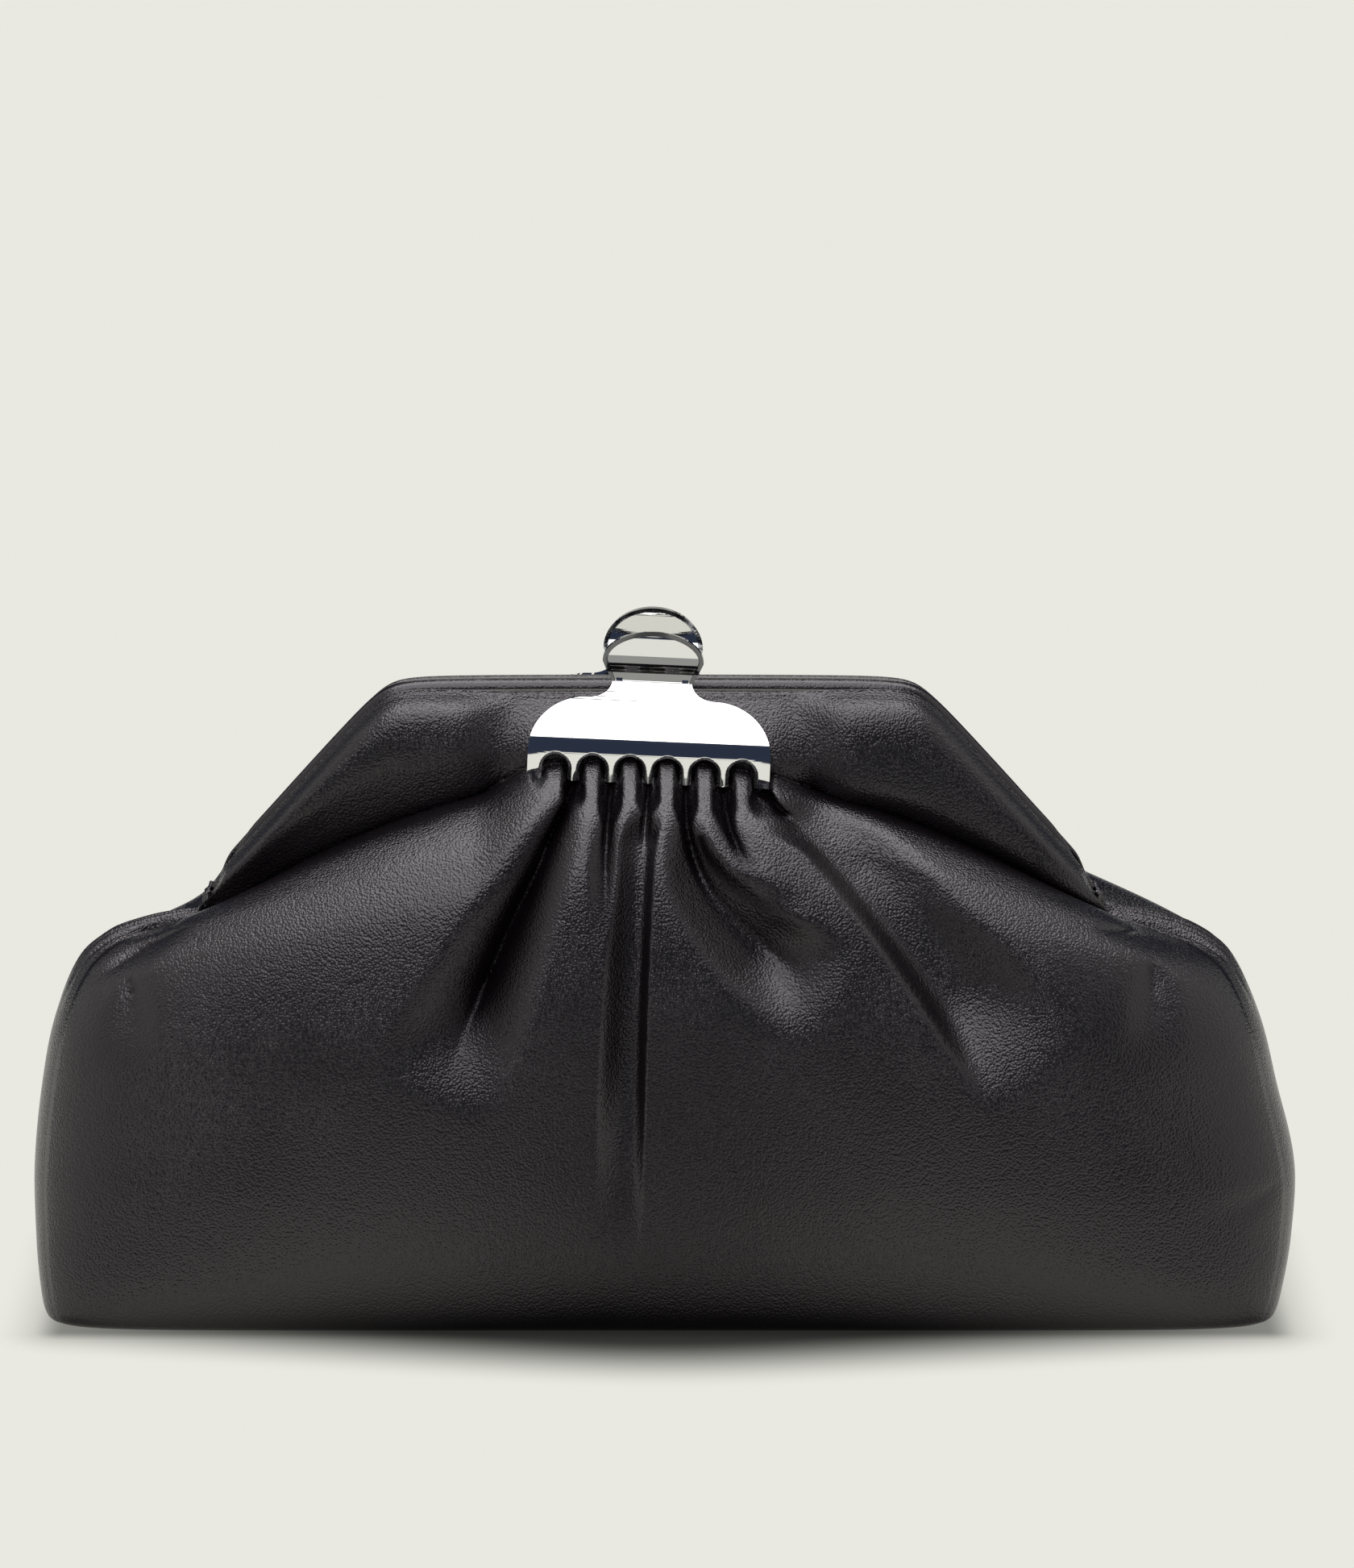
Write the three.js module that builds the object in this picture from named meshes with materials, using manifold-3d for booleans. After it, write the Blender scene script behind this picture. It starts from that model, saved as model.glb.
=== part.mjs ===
// Gathered leather frame clutch, held shut by a polished claw clip. Millimetres, +Z up, front towards -Y.
import * as THREE from "three";
import * as BufferGeometryUtils from "three/addons/utils/BufferGeometryUtils.js";
import Module from "manifold-3d";

const wasm = await Module();
wasm.setup();

// Leather body
const WALL = 2.0;
const GAP = 0.4;
const FRAME_SHIFT = -3.1;
const HINGE_REACH = 115.5;
const HINGE_HEIGHT = 98;
const GATHER_RISE = 40;
const PANEL_EDGE = 0.95;
const YOKE_DEPTH = 17;
const GROOVE_DIP = 5;
const YOKE_SWELL = 2.2;
const HINGE_LEAN = 1;
const HINGE_SPREAD = 0.6;
const HINGE_TAPER = 0.89;

// Frame bars
const FRAME_HEIGHT = 157.5;
const FRAME_FOOT = 103.5;
const FRAME_SLOPE = 1.12;
const FRAME_CORNER = 5.2;
const FRAME_DEPTH = 9.1;
const HINGE_RADIUS = 1.6;
const BAR_INNER = 2.4;
const BAR_OUTER = 6.6;
const BAR_TALL = 6.4;
const BAR_END = 0.945;
const BAR_TAPER = 0.6;

// Claw clip, measured from its hinge pin
const PIN_HEIGHT = 164.5;
const PIN_RADIUS = 1.2;
const PIN_LENGTH = 19.8;
const CLIP_ROLL = THREE.MathUtils.degToRad(2.5);
const JAW_THICK = 1.8;
const CREASE = { y: -13.2, z: -3.9 };
const LEVER_TOP = { y: -16.3, z: 9.7 };
const PLATE_LEAN = THREE.MathUtils.degToRad(23);
const PLATE_FLAT = 13.7;
const CURL_RADIUS = 14.5;
const TIP_LEAN = THREE.MathUtils.degToRad(-25);
const NECK_HALF = 10;
const PLATE_HALF = 30.5;
const LEVER_HALF = 12.7;
const LEVER_ARC = 14.4;
const RIM = 1.1;
const RIM_RAISED = 0.45;
const GAPS = 6;
const COMB_DRIFT = 1.1;
const TOOTH_PITCH = 9.7;
const GAP_HALF = 3.3;
const ARCH_TOP = -22;
const EAR_THICK = 1.6;
const EAR_RADIUS = 2.7;
const EAR_HOLE = 1.5;
const FRONT_EAR_AT = 8.3;
const BACK_EAR_AT = 5.8;

// Sections of the body from the base (level 0) up to the line where the leather is gathered (level 1)
const BODY = [
  { level: 0.0, side: 0, width: 150, shift: -1.2, depth: 43, square: 7, lift: 0 },
  { level: 0.03, side: 2.2, width: 155, shift: -1.2, depth: 47.5, square: 6, lift: 0 },
  { level: 0.08, side: 8, width: 158.4, shift: -1.0, depth: 50.5, square: 5, lift: 0.02 },
  { level: 0.18, side: 20, width: 159.7, shift: -0.4, depth: 53.5, square: 4.2, lift: 0.06 },
  { level: 0.3, side: 36, width: 159.6, shift: -0.2, depth: 55, square: 3.6, lift: 0.14 },
  { level: 0.45, side: 55, width: 156.6, shift: -1.5, depth: 54.5, square: 3.2, lift: 0.28 },
  { level: 0.6, side: 72, width: 152.6, shift: -2.3, depth: 51, square: 3, lift: 0.46 },
  { level: 0.75, side: 86, width: 147, shift: -2.7, depth: 44, square: 2.8, lift: 0.66 },
  { level: 0.86, side: 92.5, width: 139, shift: -2.8, depth: 36, square: 2.7, lift: 0.82 },
  { level: 0.93, side: 95.6, width: 130, shift: -3.0, depth: 28, square: 2.8, lift: 0.92 },
  { level: 0.97, side: 97.2, width: 122.5, shift: -3.1, depth: 22.5, square: 2.9, lift: 0.97 },
  { level: 1.0, side: 98, width: 115.5, shift: -3.1, depth: 17, square: 3, lift: 1 },
];

// Folds as valleys: a bent line below the comb with its half widths, depth, how long it keeps that depth,
// and how much wider it is on its left and right. Those with a stem start straight, under a tooth.
const FOLD_COLUMNS = [
  "fromX", "fromZ", "viaX", "viaZ", "toX", "toZ", "stem", "wide", "wideEnd", "deep", "hold", "left", "right",
];
const foldTable = (rows) => rows.map((row) => {
  const columns = FOLD_COLUMNS.map((name, i) => [name, row[i]]);
  return Object.fromEntries(columns);
});

const FRONT_FOLDS = foldTable([
  [-33.3, 136, -38, 127, -57, 117, 10, 4.6, 11, 10, 0.1, 1.3, 1],
  [-23.6, 135.5, -29, 112, -62, 62, 10, 4.6, 15, 12, 0.2, 1.3, 1],
  [-27, 126, -32, 110, -39, 73, 0, 4, 7, 5, 0.5, 1, 1],
  [-13.9, 135, -18, 104, -12, 34, 10, 4.6, 7, 12, 0.3, 1, 1.1],
  [-4.2, 135, -8, 104, -9, 40, 10, 5.6, 6, 12, 0.4, 1.1, 0.85],
  [5.5, 134.5, 4, 112, 23, 92, 10, 4.6, 9, 12, 0.3, 0.9, 1.2],
  [15.2, 134, 16, 127, 22, 120, 10, 4.6, 6, 12, 0.2, 1, 1],
  [13, 120, 25, 111, 35, 104, 0, 4, 7, 3, 0.4, 1, 1],
  [24.9, 133.5, 38, 114, 83, 66, 10, 4.6, 15, 12, 0.3, 0.7, 1.4],
  [-118, 99, -135, 93, -148, 68, 0, 5, 9, 4, 0.3, 1, 1.2],
  [111, 98, 125, 94, 141, 86, 0, 5, 8, 4, 0.3, 1.2, 1],
  [-133, 90, -131, 78, -132, 62, 0, 8, 9, 2.5, 0.2, 1, 1],
  [120, 92, 121, 84, 122, 74, 0, 9, 9, 2.5, 0.2, 1, 1],
]);

const BACK_FOLDS = foldTable([
  [-33.3, 136, -38, 127, -62, 112, 10, 4.6, 11, 10, 0.1, 1.3, 1],
  [-23.6, 135.5, -28, 112, -50, 72, 10, 4.6, 12, 12, 0.2, 1.2, 1],
  [-13.9, 135, -16, 110, -23, 76, 10, 4.6, 8, 12, 0.2, 1, 1],
  [-4.2, 135, -5, 104, -2, 46, 10, 4.6, 8, 12, 0.3, 1, 1],
  [5.5, 134.5, 7, 110, 18, 72, 10, 4.6, 8, 12, 0.2, 1, 1],
  [15.2, 134, 20, 112, 44, 76, 10, 4.6, 11, 12, 0.2, 1, 1.2],
  [24.9, 133.5, 31, 125, 57, 108, 10, 4.6, 12, 10, 0.1, 1, 1.3],
]);

const clamp = THREE.MathUtils.clamp;
const lerp = THREE.MathUtils.lerp;
const smooth = THREE.MathUtils.smoothstep;

// One column of the section table at any level, as a smooth curve through its rows
function section(level, column) {
  const last = BODY.length - 2;
  let row = 0;
  while (row < last && level > BODY[row + 1].level) row += 1;
  const from = BODY[row];
  const to = BODY[row + 1];
  const before = BODY[Math.max(row - 1, 0)];
  const after = BODY[Math.min(row + 2, BODY.length - 1)];
  const span = to.level - from.level;
  const slopeFrom = (to[column] - before[column]) / (to.level - before.level);
  const slopeTo = (after[column] - from[column]) / (after.level - from.level);
  const t = clamp((level - from.level) / span, 0, 1);
  const rise = from[column] * (1 + 2 * t) * (1 - t) ** 2 + to[column] * t * t * (3 - 2 * t);
  return rise + span * (slopeFrom * t * (1 - t) ** 2 - slopeTo * t * t * (1 - t));
}

// Height of the gathered line and of the frame's edge, by distance from the middle of the frame
function gatherHeight(reach) {
  const share = clamp(Math.abs(reach) / HINGE_REACH, 0, 1);
  const comb = 1 - smooth(Math.abs(reach), PLATE_HALF - 3.5, PLATE_HALF + 4);
  const roll = reach * Math.tan(CLIP_ROLL);
  return HINGE_HEIGHT + GATHER_RISE * (1 - share * share) + (4.2 - roll) * comb;
}

function frameHeight(reach) {
  const slope = FRAME_FOOT + (HINGE_REACH - Math.abs(reach)) * FRAME_SLOPE;
  return 0.5 * (FRAME_HEIGHT + slope - Math.hypot(FRAME_HEIGHT - slope, FRAME_CORNER));
}

// How far the gathered line stands out from the middle plane: it dips into a groove beside the clip
function gatherDepth(across) {
  const reach = Math.abs(across) * HINGE_REACH;
  const beside = smooth(reach, PLATE_HALF, PLATE_HALF + 12) * (1 - smooth(reach, 85, 108));
  return YOKE_DEPTH * Math.cbrt(1 - Math.abs(across) ** 3) - GROOVE_DIP * beside;
}

// Nearest place on a fold's bent line
function onFold(fold, x, z) {
  const steps = 14;
  let px = fold.fromX;
  let pz = fold.fromZ;
  const above = clamp(z - pz, 0, fold.stem);
  let best = { far: Math.hypot(x - px, z - pz - above), along: 0, side: Math.sign(px - x) };
  for (let i = 1; i <= steps; i += 1) {
    const t = i / steps;
    const nx = (1 - t) ** 2 * fold.fromX + 2 * t * (1 - t) * fold.viaX + t * t * fold.toX;
    const nz = (1 - t) ** 2 * fold.fromZ + 2 * t * (1 - t) * fold.viaZ + t * t * fold.toZ;
    const dx = nx - px;
    const dz = nz - pz;
    const s = clamp(((x - px) * dx + (z - pz) * dz) / (dx * dx + dz * dz), 0, 1);
    const ox = x - px - s * dx;
    const oz = z - pz - s * dz;
    const far = Math.hypot(ox, oz);
    if (far < best.far) best = { far, along: (i - 1 + s) / steps, side: Math.sign(ox * dz - oz * dx) };
    px = nx;
    pz = nz;
  }
  return best;
}

// Depth of all the valleys together at one place
function foldDepth(folds, x, z) {
  let sum = 0;
  for (const fold of folds) {
    const { far, along, side } = onFold(fold, x, z);
    const half = lerp(fold.wide, fold.wideEnd, along) * (side > 0 ? fold.left : fold.right);
    const flat = 0.42 * (1 - smooth(along, 0, 0.4));
    const share = clamp((far / half - flat) / (1 - flat), 0, 1);
    const fade = 1 - smooth(along, fold.hold, 1);
    sum += (fold.deep * fade * (1 - share * share) ** 1.5) ** 3;
  }
  return Math.cbrt(sum);
}

// A place on the outside of the front (side -1) or back (side 1); rows above level 1 are the flat yoke
function panelPoint(side, across, level, folds) {
  const reach = across * HINGE_REACH;
  const up = Math.min(level, 1);
  const width = section(up, "width");
  const x = across * HINGE_REACH + (width - HINGE_REACH) * across ** 3;
  const place = new THREE.Vector3(section(up, "shift") + x, 0, 0);
  const gather = gatherHeight(reach);
  const ground = gatherDepth(across);
  if (level > 1) {
    const t = level - 1;
    const edge = FRAME_DEPTH * (1 - Math.abs(across) ** 8) ** 0.125;
    place.z = lerp(gather, frameHeight(reach), t);
    place.y = side * (lerp(ground, edge, t) + YOKE_SWELL * Math.sin(Math.PI * t ** 0.8) * (1 - across ** 4));
    return place;
  }
  const square = section(up, "square");
  const round = (1 - (Math.abs(x) / width) ** square) ** (1 / square);
  const base = Math.max(section(up, "depth") * round, ground);
  place.z = section(up, "side") + section(up, "lift") * (gather - HINGE_HEIGHT);
  const flat = 1 - smooth(Math.abs(across), 0.86, 0.94);
  const cut = folds ? base - flat * foldDepth(folds, place.x, place.z) : base;
  const floor = Math.min(ground - 0.7, base);
  place.y = side * 0.5 * (cut + floor + Math.hypot(cut - floor, folds ? 1 : 0));
  return place;
}

// A place on the rolled side between the two panels; its pleats run into the hinge, and rows above level 1
// stand up round the hinge to the frame's edge
function gussetPoint(hand, across, level, folds) {
  const up = Math.min(level, 1);
  const t = level - up;
  const width = section(up, "width");
  const square = section(up, "square");
  const edge = PANEL_EDGE * HINGE_REACH + (width - HINGE_REACH) * PANEL_EDGE ** 3;
  const depth = Math.max(section(up, "depth"), YOKE_DEPTH);
  const edgeShare = (1 - (edge / width) ** square) ** (1 / square);
  const share = across * (edgeShare - GAP / depth);
  const x = width * (1 - Math.abs(share) ** square) ** (1 / square);
  const c = lerp(PANEL_EDGE, 1, clamp((x - edge) / (width - edge), 0, 1));
  const gather = section(up, "side") + section(up, "lift") * (gatherHeight(c * HINGE_REACH) - HINGE_HEIGHT);
  const z = lerp(gather, frameHeight(c * HINGE_REACH), t);
  const lean = t * (HINGE_SPREAD * across * across - HINGE_LEAN * (1 - across * across));
  const y = depth * share * lerp(1, HINGE_TAPER, t);
  const pleat = folds ? smooth(level, 0.55, 0.85) * (1 - smooth(level, 0.93, 1.0)) : 0;
  const push = pleat * 1.7 * (1 - across * across) * Math.cos(3 * Math.PI * across);
  return new THREE.Vector3(section(up, "shift") + hand * (x + lean + 0.5 * push), y, z + push);
}

// Direction out of the unfolded body
function outward(place, u, v, turn) {
  const step = 0.004;
  const alongU = place(u + step, v).sub(place(u - step, v));
  const alongV = place(u, v + step).sub(place(u, v - step));
  return alongU.cross(alongV).normalize().multiplyScalar(turn);
}

// Closed wall between an outer grid of places and the same grid moved inwards
function wall(us, vs, outer, plain, turn) {
  const grid = [];
  for (const v of vs) {
    for (const u of us) {
      const away = clamp(u, -0.985, 0.985);
      const level = clamp(v, 0.005, v > 1 ? 1.99 : 0.99);
      const inward = outward(plain, away, level, turn).multiplyScalar(-WALL);
      const place = outer(u, v);
      grid.push(place, place.clone().add(inward));
    }
  }
  const nu = us.length;
  const nv = vs.length;
  const faces = [];
  const at = (i, j, k) => 2 * (j * nu + i) + k;
  const quad = (a, b, c, d) => faces.push(a, b, c, a, c, d);
  const folded = (a, b, c, d) => {
    if (grid[a].distanceTo(grid[c]) < grid[b].distanceTo(grid[d])) quad(a, b, c, d);
    else quad(b, c, d, a);
  };
  for (let j = 0; j < nv - 1; j += 1) {
    for (let i = 0; i < nu - 1; i += 1) {
      folded(at(i, j, 0), at(i + 1, j, 0), at(i + 1, j + 1, 0), at(i, j + 1, 0));
      folded(at(i, j, 1), at(i, j + 1, 1), at(i + 1, j + 1, 1), at(i + 1, j, 1));
    }
  }
  for (let i = 0; i < nu - 1; i += 1) {
    quad(at(i, 0, 0), at(i, 0, 1), at(i + 1, 0, 1), at(i + 1, 0, 0));
    quad(at(i, nv - 1, 0), at(i + 1, nv - 1, 0), at(i + 1, nv - 1, 1), at(i, nv - 1, 1));
  }
  for (let j = 0; j < nv - 1; j += 1) {
    quad(at(0, j, 0), at(0, j + 1, 0), at(0, j + 1, 1), at(0, j, 1));
    quad(at(nu - 1, j, 0), at(nu - 1, j, 1), at(nu - 1, j + 1, 1), at(nu - 1, j + 1, 0));
  }
  if (turn < 0) faces.reverse();
  const geometry = new THREE.BufferGeometry().setFromPoints(grid);
  geometry.setIndex(faces);
  return geometry;
}

// Columns of a panel: four to each finger between the teeth, then wider ones out to the sides
function panelColumns() {
  const columns = [];
  const first = -0.5 * GAPS;
  for (let tooth = first; tooth <= -first; tooth += 1) {
    const middle = tooth * TOOTH_PITCH - COMB_DRIFT;
    columns.push(middle - 1.9, middle + 1.9);
    if (tooth < -first) columns.push(middle + 3.6, middle + TOOTH_PITCH - 3.6);
  }
  for (const far of [35, 41, 48, 56, 66, 77, 89, 100]) columns.push(far, -far);
  columns.sort((a, b) => a - b);
  return [-PANEL_EDGE, ...columns.map((x) => x / HINGE_REACH), PANEL_EDGE];
}

const LEVELS = [
  0, 0.03, 0.08, 0.15, 0.23, 0.31, 0.39, 0.47, 0.54, 0.61, 0.68, 0.74, 0.8, 0.86, 0.91, 0.945, 0.97, 0.985, 1,
];
const FRONT_ROWS = [...LEVELS, 1.2, 1.5, 1.8, 2];
const BACK_ROWS = [...LEVELS, 1.35, 1.7, 2];
const GUSSET_ROWS = [...LEVELS, 1.5, 2];
const GUSSET_COLUMNS = [-1, -0.75, -0.5, -0.25, 0, 0.25, 0.5, 0.75, 1];

function panel(side, folds, rows) {
  const outer = (u, v) => panelPoint(side, u, v, folds);
  const plain = (u, v) => panelPoint(side, u, v, null);
  return wall(panelColumns(), rows, outer, plain, -side);
}

function gusset(hand) {
  const outer = (u, v) => gussetPoint(hand, u, v, true);
  const plain = (u, v) => gussetPoint(hand, u, v, false);
  return wall(GUSSET_COLUMNS, GUSSET_ROWS, outer, plain, hand);
}

// Flat bottom inside the lower edge of the walls
function base() {
  const inset = 1.15;
  const first = BODY[0];
  const points = [];
  for (let i = 0; i < 56; i += 1) {
    const turn = (i / 56) * 2 * Math.PI;
    const c = Math.cos(turn);
    const s = Math.sin(turn);
    const power = 2 / (first.square - 1.5);
    const x = Math.sign(c) * Math.abs(c) ** power * (first.width - inset);
    const y = Math.sign(s) * Math.abs(s) ** power * (first.depth - inset);
    points.push(new THREE.Vector2(first.shift + x, y));
  }
  return new THREE.ExtrudeGeometry(new THREE.Shape(points), { depth: WALL, bevelEnabled: false });
}

// Frame bar: a rounded strip swept along the frame's edge
function bar(side) {
  const steps = 22;
  const sides = 8;
  const ring = [];
  const middle = 0.5 * (BAR_INNER + BAR_OUTER);
  for (let i = 0; i < sides; i += 1) {
    const turn = (i / sides) * 2 * Math.PI;
    const c = Math.cos(turn);
    const s = Math.sin(turn);
    const across = 0.5 * (BAR_OUTER - BAR_INNER) * Math.sign(c) * Math.abs(c) ** 0.6;
    const tall = 0.5 * BAR_TALL * Math.sign(s) * Math.abs(s) ** 0.6;
    ring.push([across, tall]);
  }
  const reaches = [];
  for (let i = 0; i <= steps; i += 1) {
    const share = (2 * i) / steps - 1;
    reaches.push(BAR_END * HINGE_REACH * share);
  }
  const places = [];
  for (const reach of reaches) {
    const slope = frameHeight(reach + 0.5) - frameHeight(reach - 0.5);
    const long = Math.hypot(1, slope);
    const centre = middle - BAR_TAPER * smooth(Math.abs(reach), 88, 104);
    for (const [across, tall] of ring) {
      const off = tall - 0.5 * BAR_TALL + 0.6;
      const x = FRAME_SHIFT + reach - (off * slope) / long;
      places.push(new THREE.Vector3(x, side * (centre + across), frameHeight(reach) + off / long));
    }
  }
  const n = ring.length;
  const faces = [];
  for (let j = 0; j < steps; j += 1) {
    for (let i = 0; i < n; i += 1) {
      const a = j * n + i;
      const b = j * n + ((i + 1) % n);
      faces.push(a, b, b + n, a, b + n, a + n);
    }
  }
  for (let i = 1; i < n - 1; i += 1) {
    faces.push(0, i + 1, i, steps * n, steps * n + i, steps * n + i + 1);
  }
  if (side < 0) faces.reverse();
  const geometry = new THREE.BufferGeometry().setFromPoints(places);
  geometry.setIndex(faces);
  return geometry;
}

function toSolid(geometry) {
  const plain = geometry.clone();
  plain.deleteAttribute("normal");
  plain.deleteAttribute("uv");
  const joined = BufferGeometryUtils.mergeVertices(plain, 1e-4);
  const vertProperties = new Float32Array(joined.attributes.position.array);
  const triVerts = new Uint32Array(joined.index.array);
  return new wasm.Manifold(new wasm.Mesh({ numProp: 3, vertProperties, triVerts }));
}

function fromSolid(solid) {
  const mesh = solid.getMesh();
  const geometry = new THREE.BufferGeometry();
  geometry.setAttribute("position", new THREE.BufferAttribute(mesh.vertProperties, 3));
  geometry.setIndex(new THREE.BufferAttribute(mesh.triVerts, 1));
  return geometry;
}

const SIDE_ON = new THREE.Matrix4().makeBasis(
  new THREE.Vector3(0, 1, 0),
  new THREE.Vector3(0, 0, 1),
  new THREE.Vector3(1, 0, 0),
);
const FACE_ON = new THREE.Matrix4().makeBasis(
  new THREE.Vector3(1, 0, 0),
  new THREE.Vector3(0, 0, 1),
  new THREE.Vector3(0, -1, 0),
);

// Side-on shape pushed out along X, and front-on shape pushed out along -Y
function pushSide(shape, from, to) {
  const made = new THREE.ExtrudeGeometry(shape, { depth: to - from, bevelEnabled: false, curveSegments: 6 });
  return toSolid(made.translate(0, 0, from).applyMatrix4(SIDE_ON));
}

function pushFront(shape) {
  const made = new THREE.ExtrudeGeometry(shape, { depth: 60, bevelEnabled: false, curveSegments: 5 });
  return toSolid(made.applyMatrix4(FACE_ON));
}

// Middle line of the bent jaw from lever top to tooth tips, seen from the side
function jawLine() {
  const line = [new THREE.Vector2(LEVER_TOP.y, LEVER_TOP.z), new THREE.Vector2(CREASE.y, CREASE.z)];
  const endY = CREASE.y - PLATE_FLAT * Math.sin(PLATE_LEAN);
  const endZ = CREASE.z - PLATE_FLAT * Math.cos(PLATE_LEAN);
  const midY = endY + CURL_RADIUS * Math.cos(PLATE_LEAN);
  const midZ = endZ - CURL_RADIUS * Math.sin(PLATE_LEAN);
  for (let i = 0; i <= 6; i += 1) {
    const lean = lerp(PLATE_LEAN, TIP_LEAN, i / 6);
    line.push(new THREE.Vector2(midY - CURL_RADIUS * Math.cos(lean), midZ + CURL_RADIUS * Math.sin(lean)));
  }
  return line;
}

// Strip along a line, reaching from one distance to another in front of it
function strip(line, behind, ahead) {
  const sides = [[], []];
  line.forEach((point, i) => {
    const before = line[Math.max(i - 1, 0)];
    const after = line[Math.min(i + 1, line.length - 1)];
    const into = (i > 0 ? point.clone().sub(before) : after.clone().sub(point)).normalize();
    const out = (i < line.length - 1 ? after.clone().sub(point) : into.clone()).normalize();
    const across = new THREE.Vector2(into.y + out.y, -into.x - out.x).normalize();
    const grow = 1 / Math.max(across.dot(new THREE.Vector2(into.y, -into.x)), 0.5);
    sides[0].push(point.clone().addScaledVector(across, grow * ahead));
    sides[1].push(point.clone().addScaledVector(across, grow * behind));
  });
  return new THREE.Shape([...sides[0], ...sides[1].reverse()]);
}

// Lever outline above the crease, pulled in by an even border
function leverOutline(shape, border) {
  const arc = LEVER_ARC - border;
  const mid = LEVER_TOP.z - LEVER_ARC;
  const half = LEVER_HALF - border;
  const turn = Math.acos(clamp(half / arc, 0, 1));
  shape.absarc(0, mid, arc, Math.PI - turn, turn, true);
}

function jawOutline() {
  const bottom = ARCH_TOP - 9;
  const shape = new THREE.Shape();
  const shoulder = CREASE.z - 17;
  const saddle = CREASE.z - 4.2;
  const bend = NECK_HALF + 6;
  shape.moveTo(-PLATE_HALF, bottom);
  shape.lineTo(-PLATE_HALF, shoulder);
  shape.absellipse(-bend, shoulder, PLATE_HALF - bend, saddle - shoulder, Math.PI, 0.5 * Math.PI, true);
  shape.absellipse(-bend, CREASE.z, 6, 4.2, 1.5 * Math.PI, 2 * Math.PI, false);
  leverOutline(shape, 0);
  shape.lineTo(NECK_HALF, CREASE.z);
  shape.absellipse(bend, CREASE.z, 6, 4.2, Math.PI, 1.5 * Math.PI, false);
  shape.absellipse(bend, shoulder, PLATE_HALF - bend, saddle - shoulder, 0.5 * Math.PI, 0, true);
  shape.lineTo(PLATE_HALF, bottom);
  for (let gap = 0; gap < GAPS; gap += 1) {
    const middle = (0.5 * (GAPS - 1) - gap) * TOOTH_PITCH;
    shape.lineTo(middle + GAP_HALF, bottom);
    shape.absarc(middle, ARCH_TOP - GAP_HALF, GAP_HALF, 0, Math.PI, false);
    shape.lineTo(middle - GAP_HALF, bottom);
  }
  return shape;
}

// Comb jaw with its rimmed lever and two ears round the pin
function jaw(earAt) {
  const half = 0.5 * JAW_THICK;
  const line = jawLine();
  let solid = pushSide(strip(line, -half, half), -40, 40).intersect(pushFront(jawOutline()));
  const field = new THREE.Shape();
  field.moveTo(-NECK_HALF + 0.6, CREASE.z + 1.8);
  leverOutline(field, RIM);
  field.lineTo(NECK_HALF - 0.6, CREASE.z + 1.8);
  const cutLine = line.slice(0, 2);
  const cutter = pushSide(strip(cutLine, half - RIM_RAISED, half + 4), -40, 40).intersect(pushFront(field));
  solid = solid.subtract(cutter);
  const ear = new THREE.Shape();
  ear.moveTo(CREASE.y - 0.5, CREASE.z - 1.6);
  ear.lineTo(-0.4, -EAR_RADIUS);
  ear.absarc(0, 0, EAR_RADIUS, -0.5 * Math.PI, 0.5 * Math.PI, false);
  ear.lineTo(CREASE.y - 0.7, CREASE.z + 3.4);
  const hole = new THREE.Path();
  hole.absarc(0, 0, EAR_HOLE, 0, 2 * Math.PI, true);
  ear.holes.push(hole);
  for (const hand of [-1, 1]) {
    solid = solid.add(pushSide(ear, hand * earAt - 0.5 * EAR_THICK, hand * earAt + 0.5 * EAR_THICK));
  }
  return fromSolid(solid);
}

const leather = { color: 0x0b0a0b, roughness: 0.42, metalness: 0 };
const steel = { color: 0xd9d9d6, roughness: 0.06, metalness: 1 };
const brass = { color: 0x8f7a4a, roughness: 0.35, metalness: 1 };

function piece(name, geometry, look) {
  const mesh = new THREE.Mesh(geometry, new THREE.MeshStandardMaterial(look));
  mesh.name = name;
  return mesh;
}

const clutch = new THREE.Group();
clutch.name = "gathered_frame_clutch";
clutch.add(
  piece("front_panel", panel(-1, FRONT_FOLDS, FRONT_ROWS), leather),
  piece("back_panel", panel(1, BACK_FOLDS, BACK_ROWS), leather),
  piece("gusset_left", gusset(-1), leather),
  piece("gusset_right", gusset(1), leather),
  piece("base_panel", base(), leather),
  piece("frame_bar_front", bar(-1), leather),
  piece("frame_bar_back", bar(1), leather),
);

// Frame hinges between the ends of the bars
for (const [name, hand] of [["frame_hinge_left", -1], ["frame_hinge_right", 1]]) {
  const reach = hand * (BAR_END * HINGE_REACH - 5);
  const long = 2 * (BAR_INNER - BAR_TAPER - GAP);
  const hinge = piece(name, new THREE.CylinderGeometry(HINGE_RADIUS, HINGE_RADIUS, long, 14), brass);
  hinge.position.set(FRAME_SHIFT + reach, 0, frameHeight(reach) - 0.5 * BAR_TALL);
  clutch.add(hinge);
}

// Clip, turned a little clockwise as it sits in the photo
const clip = new THREE.Group();
clip.name = "clip";
clip.position.set(FRAME_SHIFT, 0, PIN_HEIGHT);
clip.rotation.y = CLIP_ROLL;
const backJaw = piece("clip_back_jaw", jaw(BACK_EAR_AT), steel);
backJaw.rotation.z = Math.PI;
const pinShape = new THREE.CylinderGeometry(PIN_RADIUS, PIN_RADIUS, PIN_LENGTH, 20);
const pin = piece("clip_hinge_pin", pinShape, steel);
pin.rotation.z = 0.5 * Math.PI;
clip.add(piece("clip_front_jaw", jaw(FRONT_EAR_AT), steel), backJaw, pin);
clutch.add(clip);

export default clutch;
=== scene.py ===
import math

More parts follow.
